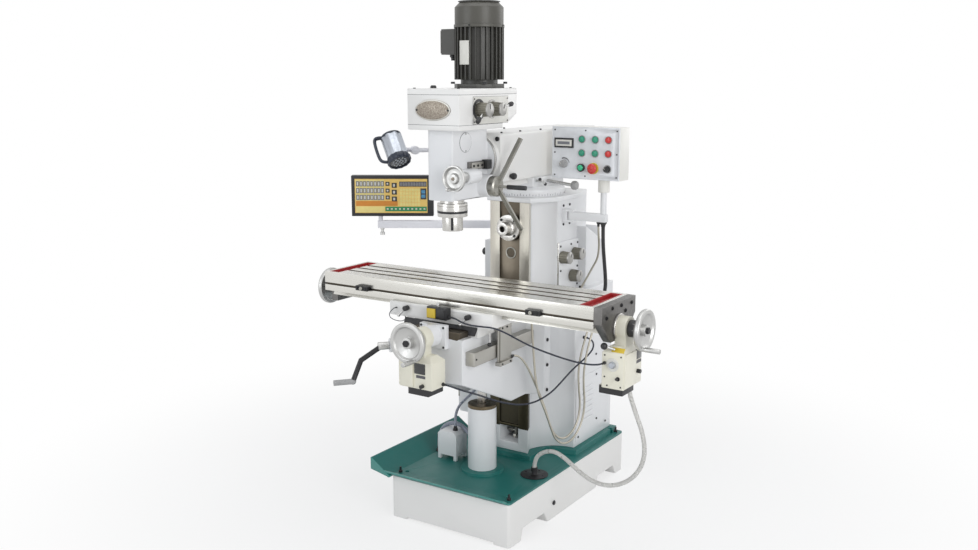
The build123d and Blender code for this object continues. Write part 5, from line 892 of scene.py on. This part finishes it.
lamp = {
    "centre": (-362, -350, 1526), "aim": (0.56, -0.27, -0.78), "radius": 50, "half": 67.5, "flutes": 8,
    "elbow": (-296, -305, 1522), "armFoot": (-122, -80, 1520), "joint": 17,
    "handle": (-0.723, -0.675, -0.149),  # the way the handle stands out
    "bulbs": ((0, 1), (14, 6), (28, 12)),  # rings of bulbs, each with its radius and count
}


def splineThrough(route):
    points = splineOf("guide", [tuple(place) for place in route])
    return [point / milli for point in points[::6]] + [points[-1] / milli]


def makeLamp():
    aim = Vector(lamp["aim"]).normalized()
    centre, half, wide = Vector(lamp["centre"]), lamp["half"], lamp["radius"]
    piece = Piece("lamp_head.fluted", "lamp_head", nodeSlot["lamp_head"])
    body = [(0, -half + 8), (wide * 0.84, -half + 8), (wide * 0.9, -half + 12)]
    body += [(wide * 0.9, half - 26), (0, half - 26)]
    piece.lathe("silver", body, centre, aim, 96, 0.07, lamp["flutes"])
    rear = [(0, -half), (wide * 0.7, -half), (wide * 0.86, -half + 3)]
    rear += [(wide * 0.88, -half + 10), (0, -half + 10)]
    piece.lathe("navy", rear, centre, aim, 48)
    bezel = [(0, half - 28), (wide * 0.92, half - 28), (wide, half - 22), (wide, half - 4)]
    bezel += [(wide * 0.94, half), (wide * 0.84, half), (wide * 0.82, half - 6), (0, half - 6)]
    piece.lathe("navy", bezel, centre, aim, 96, 0.05, 12)
    glass = [(0, half - 6.5), (wide * 0.81, half - 6.5), (wide * 0.81, half - 4.5), (0, half - 4.5)]
    piece.lathe("screen", glass, centre, aim, 40)
    side = aim.orthogonal().normalized()
    other = aim.cross(side)
    bulb = [(0, 0), (4.6, 0), (4.2, 1.2), (2, 2.2), (0, 2.4)]
    for ring, count in lamp["bulbs"]:
        for turn in fullTurn(count):
            spot = centre + aim * (half - 4.6) + (side * math.cos(turn) + other * math.sin(turn)) * ring
            piece.lathe("silver", bulb, spot, aim, 14)
    grip = Vector(lamp["handle"])
    bow = [(-half + 6, 0.7), (-half + 2, 1.05), (-half + 8, 1.42), (-20, 1.5), (20, 1.5)]
    bow += [(half - 24, 1.45), (half - 14, 1.2), (half - 12, 0.9)]
    line = splineThrough([centre + aim * along + grip * wide * out for along, out in bow])
    piece.sweep("navy", line, 6.5, 12, 1.4)
    elbow = Vector(lamp["elbow"])
    run = elbow - Vector(lamp["armFoot"])
    hinge = Vector((-run.y, run.x, 0)).normalized()
    far = elbow - hinge * lamp["joint"]
    piece.rod("arm", elbow - hinge * 0.2, far, lamp["joint"], 2.0, 40)
    piece.rod("arm", elbow - hinge * lamp["joint"] * 0.8, centre, 9, 1.0)
    piece.screw(far, -hinge, 7, 4)
    piece.done("lamp_head")


makeLamp()
print("lamp made")

# Trims that ride on the dressed nodes, places in millimetres

louvre = {"taper": 4, "edge": 2.0}


def grid(*spans):
    # every mix of the places given for x, y and z
    return list(product(*[span if isinstance(span, tuple) else (span,) for span in spans]))


def screws(axis, radius, height, *places):
    return [("screw", place, axis, radius, height) for place in places]


def bolts(axis, radius, height, *places):
    return [("hexBolt", place, axis, radius, height) for place in places]


def louvres(axis, near, far, left, right, tall, levels):
    start, end = left + louvre["taper"], right - louvre["taper"]
    return [("prism", "white", [(left, low), (right, low), (end, low + tall), (start, low + tall)],
             near, far, axis, louvre["edge"]) for low in levels]


def stopNut(body, middle, *sides):
    face = [(0, 0), (8, 0), (8, 6), (6.5, 7.5), (0, 7.5)]
    return {"body": body, "slot": "bright_steel", "parts": [
        ("lathe", "dull", face, (middle, -511.5, 964), toFront, 24, 0.12, 12),
        *bolts(toFront, 5, 4, *grid(sides, -511.5, 964))]}


trims = {
    "columnScrews": {"body": "stand", "slot": "bright_steel", "parts": [
        *screws(toRight, 5, 3.2, (230, 328, 592), (230, 160, 592), (234, 327, 499), (234, 161, 496),
                (234, 334, 288), (234, 161, 250), (234, 425, 499), (234, 425, 250)),
        *screws(toRight, 4.5, 3, (173, 89, 1109), (173, 182, 1108), (173, 240, 1108), (173, 92, 1003),
                (173, 240, 1004), (173, 240, 925)),
        *screws(toRight, 5.5, 3.5, *grid(165, (124, 178), (1200, 1280))),
        ("lathe", "black", [(0, -1), (14, -1), (16, 6), (16, 14), (10, 20), (0, 21)],
         (-215, 112, 1050), toLeft),
        *screws(toFront, 6, 3, *grid((-32, 32), -57, (1161, 1225))),
        ("ring", "dull", (0, -31, 1084), toFront, 25, 20, -1, 3),
        ("lathe", "slot", [(0, 0), (19.5, 0), (18, 2), (0, 2.4)], (0, -31, 1084), toFront)]},
    "windowFitting": {"body": "stand", "slot": "bright_steel", "parts": [
        ("hexBolt", (-4, 24, 245), toTop, 15, 16, "dull"),
        ("rod", "dull", (-4, 24, 260), (-4, 24, 292), 7),
        ("rod", "dull", (-4, 24, 278), (-47, 24, 278), 6),
        ("hexBolt", (-16, 24, 278), toLeft, 11, 12, "dull")]},
    "sideLouvres": {"body": "stand", "slot": "white_sheet",
                    "parts": louvres("x", 233.5, 239.5, 190, 300, 9, range(312, 460, 24))},
    "baseBolts": {"body": "stand", "slot": "bright_steel", "parts": [
        *bolts(toTop, 9, 9, *grid((-268, 268), (-470, 470), 188)),
        *[("rod", "screw", (x, y, 187), (x, y, 212), 4.5) for x, y in grid((-268, 268), (-470, 470))],
        *bolts(toRight, 10, 6, (290, -153, 68)),
        *screws(toTop, 4, 2, (257, -189, 192), (177, -189, 192), (217, -149, 192), (217, -229, 192)),
        ("ring", "screw", (217, -189, 210), toTop, 14, 9.2, -6, 12)]},
    "cabinetDoor": {"body": "stand", "slot": "white_sheet", "parts": [
        ("box", "white", (-406, 158, 270), (-399, 442, 852), 2.5),
        *[("rod", "steel", (-403, 160, foot), (-403, 160, foot + 70), 6) for foot in (330, 720)],
        ("lathe", "black", [(0, 0), (16, 0), (16, 3), (9, 5), (8, 9), (0, 9)], (-406, 418, 570), toLeft),
        ("box", "black", (-417, 413, 556), (-411, 423, 584), 1.5),
        *louvres("x", -412, -405, 230, 370, 10, range(320, 400, 26))]},
    "kneeScrews": {"body": "knee", "slot": "bright_steel", "parts": [
        *screws(toRight, 7.5, 5, *grid(185, -38, (512, 622, 731))),
        *screws(toLeft, 7.5, 5, *grid(-185, -38, (530, 622, 731))),
        *screws(toFront, 4.5, 3, *grid((-52, 52), -600, (803, 880))),
        *screws(toRight, 4, 2, *grid(163, (-540, -125), 758))]},
    "crossControls": {"body": "knee", "slot": "black_plastic", "parts": [
        ("box", "cream", (-74, -717, 667), (-9, -709, 766), 2.5),
        ("box", "screen", (-4, -712.5, 720), (46, -709, 761), 1.0),
        ("box", "mark", (4, -711.5, 704), (46, -709, 715), 0.6),
        ("rod", "black", (34, -709, 675), (34, -725, 675), 7.5),
        ("rod", "black", (-75, -668, 700), (-90, -668, 700), 7),
        ("rod", "silver", (-75, -668, 736), (-89, -668, 736), 12),
        *[("box", "mark", (-0.5, -732, 31.4), (0.5, -722 if step % 5 else -727, 32.4), 0.1,
           around((0, 0, 847), "Y", 9 * step)) for step in range(40)]]},
    "saddleLever": {"body": "saddle", "slot": "chrome", "parts": [
        ("rod", "chrome", (168, -455, 850), (168, -455, 806), 4),
        ("ball", "black", (168, -455, 800), 9)]},
    "scaleFoot": {"body": "saddle", "slot": "bright_steel", "parts": [
        ("box", "plate", (160, -404, 700), (186, -316, 716), 1.5),
        ("box", "plate", (172, -392, 716), (178, -330, 870), 1.5),
        *screws(toRight, 4, 2.5, *grid(178, (-378, -344), 850), *grid(186, (-390, -330), 708))]},
    "switchCover": {"body": "saddle", "slot": "black_plastic", "parts": [
        ("box", "yellow", (-64, -550, 897), (-24, -544, 934), 1.5),
        ("box", "black", (-20, -548, 899), (22, -544, 935), 1.5),
        *screws(toFront, 2.6, 2, (-16, -548, 903), (18, -548, 931)),
        ("rod", "steel", (-20, -529, 940), (-20, -529, 950), 5),
        ("rod", "chrome", (-20, -536, 951), (-20, -522, 951), 7)]},
    "tableScrews": {"body": "table", "slot": "bright_steel", "parts": [
        *screws(toRight, 7.5, 4, (668, -337, 995), (668, -411, 997), (668, -302, 969), (668, -457, 969),
                (668, -250, 990)),
        *screws(toLeft, 5, 4, *grid(-668, (-404, -308), (890, 970))),
        ("ring", "screw", (651, -256, 885), toTop, 14, 9.3, -33, -14),
        ("ring", "steelAcross", (668, -356, 918), toRight, 50, 43, 0, 8)]},
    "longControls": {"body": "table", "slot": "black_plastic", "parts": [
        ("rod", "chrome", (690, -428, 850), (661, -443, 860), 4),
        ("ball", "black", (655, -446, 862), 13),
        ("box", "yellow", (-25, -10, -1), (25, 10, 1.2), 0.8, around((700, -421, 847), "X", 45)),
        ("ring", "keyWhite", (684, -432, 793), toFront, 25, 12, -1, 2.5),
        ("lathe", "silver", [(0, 0), (14, 0), (13, 10), (10, 15), (0, 15.5)], (684, -432, 793), toFront,
         48, 0.08, 12),
        ("rod", "screw", (706, -431, 743), (706, -435, 743), 8),
        ("rod", "black", (706, -434, 743), (706, -449, 746), 4.5),
        *screws(toFront, 3, 2, (652, -432, 745), (652, -432, 826), (717, -432, 826), (663, -432, 713),
                (717, -432, 713)),
        ("box", "cream", (727, -430, 708), (735, -338, 834), 2.5),
        ("box", "screen", (727, -332, 796), (730.5, -286, 835), 1.0),
        ("box", "mark", (727, -332, 780), (729.5, -286, 791), 0.6),
        ("rod", "black", (727, -316, 750), (743, -316, 750), 8),
        *[("box", "keyWhite", (740 if step % 5 else 735, -0.5, 31.4), (752, 0.5, 32.4), 0.1,
           around((0, -356, 918), "X", 9 * step)) for step in range(40)]]},
    "wheelNuts": {"body": "table_handwheels", "slot": "bright_steel", "parts": [
        *bolts(toRight, 13, 10, (780.5, -356, 918)),
        *bolts(toLeft, 13, 10, (-734.5, -356, 918))]},
    "crossNut": {"body": "cross_handwheel", "slot": "bright_steel",
                 "parts": bolts(toFront, 13, 10, (0, -762.6, 847))},
    "stopNutLeft": stopNut("table_stop_left", -424, -446, -402),
    "stopNutRight": stopNut("table_stop_right", 384, 368, 410),
    "headFittings": {"body": "head", "slot": "bright_steel", "parts": [
        ("prism", "mark", oval(40, 38, -454, 1573), 57, 58.8, "x", 0.4),
        ("prism", "white", oval(38.6, 36.6, -454, 1573), 57, 59.6, "x", 0.6),
        *screws(toRight, 2.6, 1.5, *grid(59.2, -454, (1541, 1605))),
        ("box", "iron", (57, -444, 1467), (66, -310, 1498), 2),
        ("box", "plate", (64, -430, 1471), (72, -350, 1494), 1.5),
        *screws(toRight, 5, 2.5, *grid(72, (-418, -390, -362), 1482)),
        ("box", "black", (58, -344, 1465), (84, -310, 1501), 2),
        ("ring", "cap", (0, -305, 1500), toFront, 97.5, 92, -9, 1, 72),
        *[("box", "mark", (-0.4, -304, 97.2), (0.4, -299, 97.9), 0.1, around((0, 0, 1500), "Y", angle))
          for angle in range(45, 140, 5)]]},
    "gearboxFittings": {"body": "head", "slot": "chrome", "parts": [
        ("prism", "plate", oval(80, 39, 0, 1696), -585, -580, "y", 1.4),
        ("prism", "brass", oval(74, 34, 0, 1696), -586.4, -584, "y", 0.8),
        *screws(toFront, 4, 2, *grid((-71, 71), -586, 1696)),
        ("box", "mark", (117, -492, 1642), (118.6, -247, 1745), 0.4),
        ("box", "keyWhite", (117, -491, 1643), (119.6, -248, 1744), 0.8),
        ("ring", "black", (119, -456, 1697), toRight, 39, 29, 0, 4),
        ("ring", "cap", (119, -366, 1697), toRight, 36, 29, 0, 3),
        *screws(toRight, 3, 2, *grid(119.4, (-484, -255), (1651, 1736))),
        ("lathe", "black", [(0, -1), (12, -1), (12, 6), (8, 11), (0, 11)], (-100, -440, 1774), toTop),
        *screws(toTop, 5, 3, *grid((-100, 100), (-560, -200), 1774))]},
    "motorFittings": {"body": "head", "slot": "motor_black", "parts": [
        ("box", "keyWhite", (-24, -371.5, 1863), (17, -366, 1953), 0.8),
        *bolts(toTop, 9, 8, *grid((-74, 74), (-346, -198), 1790)),
        ("box", "motor", (-155, -315, 1907), (-149, -229, 1995), 2.5),
        *screws(toLeft, 3.5, 2, *grid(-155, (-308, -236), (1914, 1988))),
        ("lathe", "black", [(0, 0), (13, 0), (13, 8), (9, 11), (8, 22), (0, 22)],
         (-124, -272, 1902), toFloor),
        ("ring", "fan", (0, -272, 2004), toTop, 98.5, 94, 0, 11, 60),
        # dark rings on the fan cover stand for its vent slots: painted shade inside the slots
        *[("ring", "screw", (0, -272, 2101), toTop, wide, wide - 7, 0, 2.2) for wide in (82, 64, 46, 28)],
        *[("screw", (98 * math.cos(turn), -272 + 98 * math.sin(turn), 2010),
           (math.cos(turn), math.sin(turn), 0), 3.5, 2.5) for turn in (0.2, 1.77, 3.34, 4.91)]]},
    "ramFittings": {"body": "ram", "slot": "bright_steel", "parts": [
        *screws(toTop, 4.5, 5, *grid((-90, 90), (-250, 54), 1600), (90, -109, 1600)),
        *screws(toFront, 9, 7, (86, -272, 1578), (86, -272, 1424), (-86, -272, 1578)),
        ("lathe", "black", [(0, -1), (8, -1), (8, 7), (13, 10), (14, 20), (10, 26), (0, 27)],
         (100, -200, 1428), toRight, 36, 0.08, 9)]},
    "turretFittings": {"body": "turret", "slot": "chrome", "parts": [
        *[("box", "mark", (149.3, -0.6, 1326), (150.5, 0.6, 1333 if step % 3 else 1337), 0.1,
           around((0, 125, 0), "Z", 5 * step)) for step in range(-24, 7)],
        ("rod", "chrome", (92, 18, 1390), (126, 18, 1390), 5),
        ("rod", "chrome", (122, 2, 1397), (122, 36, 1379), 3.5),
        ("ball", "black", (122, -2, 1399), 7),
        ("ball", "black", (122, 42, 1376), 7),
        ("rod", "chrome", (92, 112, 1384), (216, 112, 1370), 7),
        ("lathe", "grey", [(0, 0), (17, 0), (19, 6), (19, 16), (15, 22), (0, 23)],
         (214, 112, 1370.2), toRight)]},
    "fineHandle": {"body": "fine_feed_wheel", "slot": "chrome", "parts": [
        ("lathe", "chrome", [(0, 0), (3.5, 0), (3.5, 8), (5.5, 12), (6.5, 40), (4, 50), (0, 52)],
         (92, -580, 1410), toFront, 20),
        ("lathe", "brass", [(0, 0), (7, 0), (6, 4), (0, 5)], (90, -583.5, 1447), toFront, 20)]},
    "quillBand": {"body": "quill", "slot": "bright_steel", "parts": [
        ("ring", "screw", (0, -460, 1303), toTop, 58.5, 57.4, 0, 9),
        ("ring", "slot", (0, -460, 1330), toTop, 58.4, 57.4, 0, 1.4)]},
    "spindleKeys": {"body": "vertical_spindle", "slot": "bright_steel", "parts": [
        ("box", "screw", (-5, near, 1238), (5, near + 2.8, 1286), 0.6, around((0, -460, 0), "Z", 33))
        for near in (-40.8, 38)]},
    "panelFittings": {"body": "panel_box", "slot": "black_plastic", "parts": [
        ("box", "black", (150, 65, 1529), (239, 70.6, 1569), 1.5),
        ("box", "keyWhite", (157, 64.2, 1536), (232, 66, 1562), 0.6),
        ("box", "liquid", (166, 63.6, 1543), (223, 65, 1555), 0.5),
        *[("ring", "grey", place, toFront, 15.8, 13.4, 0, 4.5)
          for place in grid((278, 339, 399), 70.4, (1566, 1510))],
        ("rod", "black", (276, 71, 1450), (276, 61, 1450), 16.5),
        ("lathe", "greenLamp", [(0, 0), (12, 0), (11.4, 5), (7.5, 8.5), (0, 9.5)],
         (276, 61.5, 1450), toFront),
        ("ring", "yellow", (333, 70.4, 1449), toFront, 23, 13.6, 0, 6),
        ("ring", "grey", (396, 70.4, 1449), toFront, 17, 13.6, 0, 4),
        ("sweep", "mark", [(196 + 24 * math.cos(0.1 * turn), 69.8, 1463 + 24 * math.sin(0.1 * turn))
                           for turn in range(2, 21)], [0.8 + 0.12 * turn for turn in range(19)]),
        *screws(toFront, 3, 1.6, *grid((151, 436), 70, (1416, 1509, 1602)), *grid(294, 70, (1416, 1602)))]},
    "rearCovers": {"body": "stand", "slot": "white_sheet", "parts": [
        ("box", "white", (-176, 484, 290), (176, 490, 850), 2.5),
        ("box", "white", (-150, 484, 930), (150, 489, 1150), 2.5),
        *screws(toRear, 5, 3, *grid((-162, 162), 490, (304, 570, 836))),
        *screws(toRear, 5, 3, *grid((-138, 138), 489, (942, 1138))),
        *louvres("y", 489, 496, -90, 90, 10, range(690, 820, 26))]},
    "ramRear": {"body": "ram", "slot": "white_sheet", "parts": [
        ("box", "white", (-84, 527, 1422), (84, 533, 1584), 2.5),
        *screws(toRear, 5, 3, *grid((-74, 74), 533, (1432, 1574)))]},
    "panelRear": {"body": "panel_box", "slot": "white_sheet", "parts": [
        ("box", "boxCream", (152, 154, 1418), (436, 158, 1602), 1.6),
        *screws(toRear, 4, 2.5, *grid((162, 426), 158, (1428, 1592)))]},
    "readoutPost": {"body": "readout_arm", "slot": "chrome", "parts": [
        ("lathe", "chrome", [(0, 0), (10, 0), (10, 8), (7, 10), (7, 20), (11, 22), (11, 34), (0, 36)],
         (-690, -38, 1139), toFloor)]},
}


def makeTrim(name, body, slot, parts):
    piece = Piece(name, body, slot)
    for kind, *values in parts:
        getattr(piece, kind)(*values)
    piece.done()


for trimName, trimFacts in trims.items():
    makeTrim(trimName, **trimFacts)
print(len(trims), "trims fitted")

# Glands where the cords enter, their width in cord radii and their height in millimetres

gland = {"nut": 2.1, "nutHeight": 5,
         "sleeve": ((0, 4), (1.6, 4), (1.6, 9), (1.25, 10), (1.08, 20), (0, 20))}


def makeGland(name, axis, body, place, radius):
    piece = Piece(name, body, "black_rubber")
    piece.hexBolt(place, axis, radius * gland["nut"], gland["nutHeight"], "black")
    piece.lathe("rubber", [(radius * out, along) for out, along in gland["sleeve"]], place, axis, 24)
    piece.done()


for facts in cords.values():
    radius = facts["diameter"] / 2 / milli
    for end, (glandName, axis) in zip((0, -1), facts["glands"]):
        makeGland(glandName, axis, facts["bodies"][end], facts["route"][end], radius)
print(sum(len(facts["glands"]) for facts in cords.values()), "glands fitted")

# Face of the position readout

readout = {"left": -186, "top": 1378, "front": -23, "place": (-648, -11, 0), "turn": 33, "rows": 3,
           "cells": 8, "smallCells": 10, "keysAcross": 7, "keysDown": 5, "stripKeys": 10,
           "plugs": (-120, -80, -40), "plugHeight": 1236}


def makeReadout():
    piece = Piece("readoutFace", "readout_console", "black_plastic")
    turn = around(readout["place"], "Z", readout["turn"])
    front = readout["front"]

    def tile(look, left, top, wide, high, out, edge=0.5):
        low = (readout["left"] + left, front - out, readout["top"] - top - high)
        piece.box(look, low, (low[0] + wide, front + 1, low[2] + high), edge, turn)

    def plug(look, across, near, far, radius):
        ends = [turn @ Vector((across, y, readout["plugHeight"])) for y in (near, far)]
        piece.rod(look, *ends, radius)

    tile("amber", 16, 15, 329, 155, 1.0)
    tile("amberPale", 20, 19, 130, 95, 1.4)
    tile("amberPale", 20, 140, 130, 27, 1.4)
    tile("keyOrange", 20, 115, 190, 23, 1.5)
    for row in range(readout["rows"]):
        top = 25 + 31 * row
        for cell in range(readout["cells"]):
            tile("digit", 22 + 16 * cell, top, 14.5, 24, 2.2)
            tile("keyWhite", 26 + 16 * cell, top + 4, 6.5, 16, 2.6, 0.2)
        tile("black", 156, top + 3, 18, 18, 2.8, 1.0)
        tile("keyWhite", 161, top + 8, 8, 8, 3.4, 0.4)
        tile("black", 184, top + 8, 23, 22, 2.8, 1.0)
        tile("keyWhite", 190, top + 13, 9, 12, 3.4, 0.4)
    tile("screen", 218, 27, 124, 23, 2.2)
    for cell in range(readout["smallCells"]):
        tile("digit", 221 + 12 * cell, 30, 10.5, 17, 2.8, 0.3)
    for across, down in product(range(readout["keysAcross"]), range(readout["keysDown"])):
        tile("amberPale", 221 + 13.2 * across, 58 + 16.2 * down, 11.6, 14.4, 3.0, 1.0)
    tile("screen", 314, 58, 27, 50, 2.0)
    for top in (66, 86):
        tile("keyBlue", 318, top, 17, 15, 3.2, 1.0)
    tile("keyGreen", 153, 141, 189, 21, 2.0, 1.0)
    for key in range(readout["stripKeys"]):
        tile("keyWhite", 160 + 18.6 * key, 148, 8, 7, 3.2, 1.0)
    for level in range(1300, 1356, 12):  # vents and plugs at the rear
        piece.box("black", (-140, 22, level), (140, 25.5, level + 6), 1.2, turn)
    for across in readout["plugs"]:
        plug("steel", across, 22, 33, 9)
        plug("black", across, 32, 35, 6)
    piece.box("black", (70, 22, 1222), (118, 28, 1252), 1.5, turn)
    piece.done()


makeReadout()
print("readout face made")

# Light, floor and background

studio = {"sky": 0.42, "skyTint": (0.95, 0.97, 1.0, 1), "floor": (0.86, 0.865, 0.87), "floorRough": 0.9,
          "floorHalf": 40, "floorDrop": 0.0005, "lift": 0.7, "near": 0.7, "far": 2.6}
lights = {
    "keyLight": {"place": (3.8, -2.2, 2.1), "target": (0, -0.2, 1.0), "size": (2.2, 2.6), "power": 73},
    "fillLight": {"place": (-1.9, -4.4, 2.2), "target": (0, -0.1, 1.0), "size": (2.4, 2.8), "power": 46,
                  "colour": (0.94, 0.97, 1.0)},
    "topLight": {"place": (0.2, -0.4, 4.6), "target": (0, 0, 1.0), "size": (2.8, 2.8), "power": 36},
    "rearLight": {"place": (1.6, 3.6, 2.4), "target": (0, 0, 1.0), "size": (2.4, 2.4), "power": 24},
}


def combine(tree, operation, first, second):
    node = addNode(tree, "Math", None, {0: first, 1: second})
    node.operation = operation
    return node.outputs[0]


def mixShaders(tree, share, first, second):
    return addNode(tree, "MixShader", None, {"Fac": share, 1: first, 2: second}).outputs[0]


def whiteForEye(tree):
    # one for rays that should see plain white
    rays = addNode(tree, "LightPath").outputs
    either = combine(tree, "MAXIMUM", rays["Is Camera Ray"], rays["Is Glossy Ray"])
    return combine(tree, "MAXIMUM", either, rays["Is Transmission Ray"])


def makeWorld():
    world = bpy.data.worlds.new("studioWhite")
    scene.world = world
    world.use_nodes = True
    tree = world.node_tree
    tree.nodes.clear()
    soft = addNode(tree, "Background", {"Color": studio["skyTint"], "Strength": studio["sky"]})
    plain = addNode(tree, "Background", {"Color": (1, 1, 1, 1), "Strength": 1.0})
    mixed = mixShaders(tree, whiteForEye(tree), soft.outputs[0], plain.outputs[0])
    addNode(tree, "OutputWorld", None, {"Surface": mixed})


def makeFloor():
    bm = bmesh.new()
    bmesh.ops.create_grid(bm, x_segments=1, y_segments=1, size=studio["floorHalf"])
    mesh = bpy.data.meshes.new("paleFloor")
    bm.to_mesh(mesh)
    bm.free()
    floor = intoScene("paleFloor", mesh)
    floor.location = (0, 0, -studio["floorDrop"])
    made = Finish("paleFloor", studio["floor"], studio["floorRough"])
    tree = made.tree
    glow = addNode(tree, "Emission", {"Strength": 1.0})
    reach = addNode(tree, "VectorMath", None, {0: made.where})
    reach.operation = "LENGTH"
    ends = {"From Min": studio["near"], "From Max": studio["far"], "To Min": studio["lift"], "To Max": 1.0}
    fade = addNode(tree, "MapRange", ends, {"Value": reach.outputs["Value"]})
    fade.interpolation_type = "SMOOTHSTEP"  # whiter away from the machine
    share = combine(tree, "MULTIPLY", whiteForEye(tree), fade.outputs["Result"])
    mixed = mixShaders(tree, share, made.shader.outputs[0], glow.outputs[0])
    tree.links.new(mixed, tree.nodes["Material Output"].inputs["Surface"])
    mesh.materials.append(made.material)


def softBox(name, place, target, size, power, colour=(1, 1, 1)):
    light = bpy.data.lights.new(name, "AREA")
    light.shape = "RECTANGLE"
    light.size, light.size_y = size
    light.energy = power
    light.color = colour
    lit = intoScene(name, light)
    lit.location = place
    lit.rotation_euler = (Vector(target) - Vector(place)).to_track_quat("-Z", "Y").to_euler()


makeWorld()
makeFloor()
for lightName, lightFacts in lights.items():
    softBox(lightName, **lightFacts)
scene.view_settings.view_transform = "Standard"
print("lights and floor set")
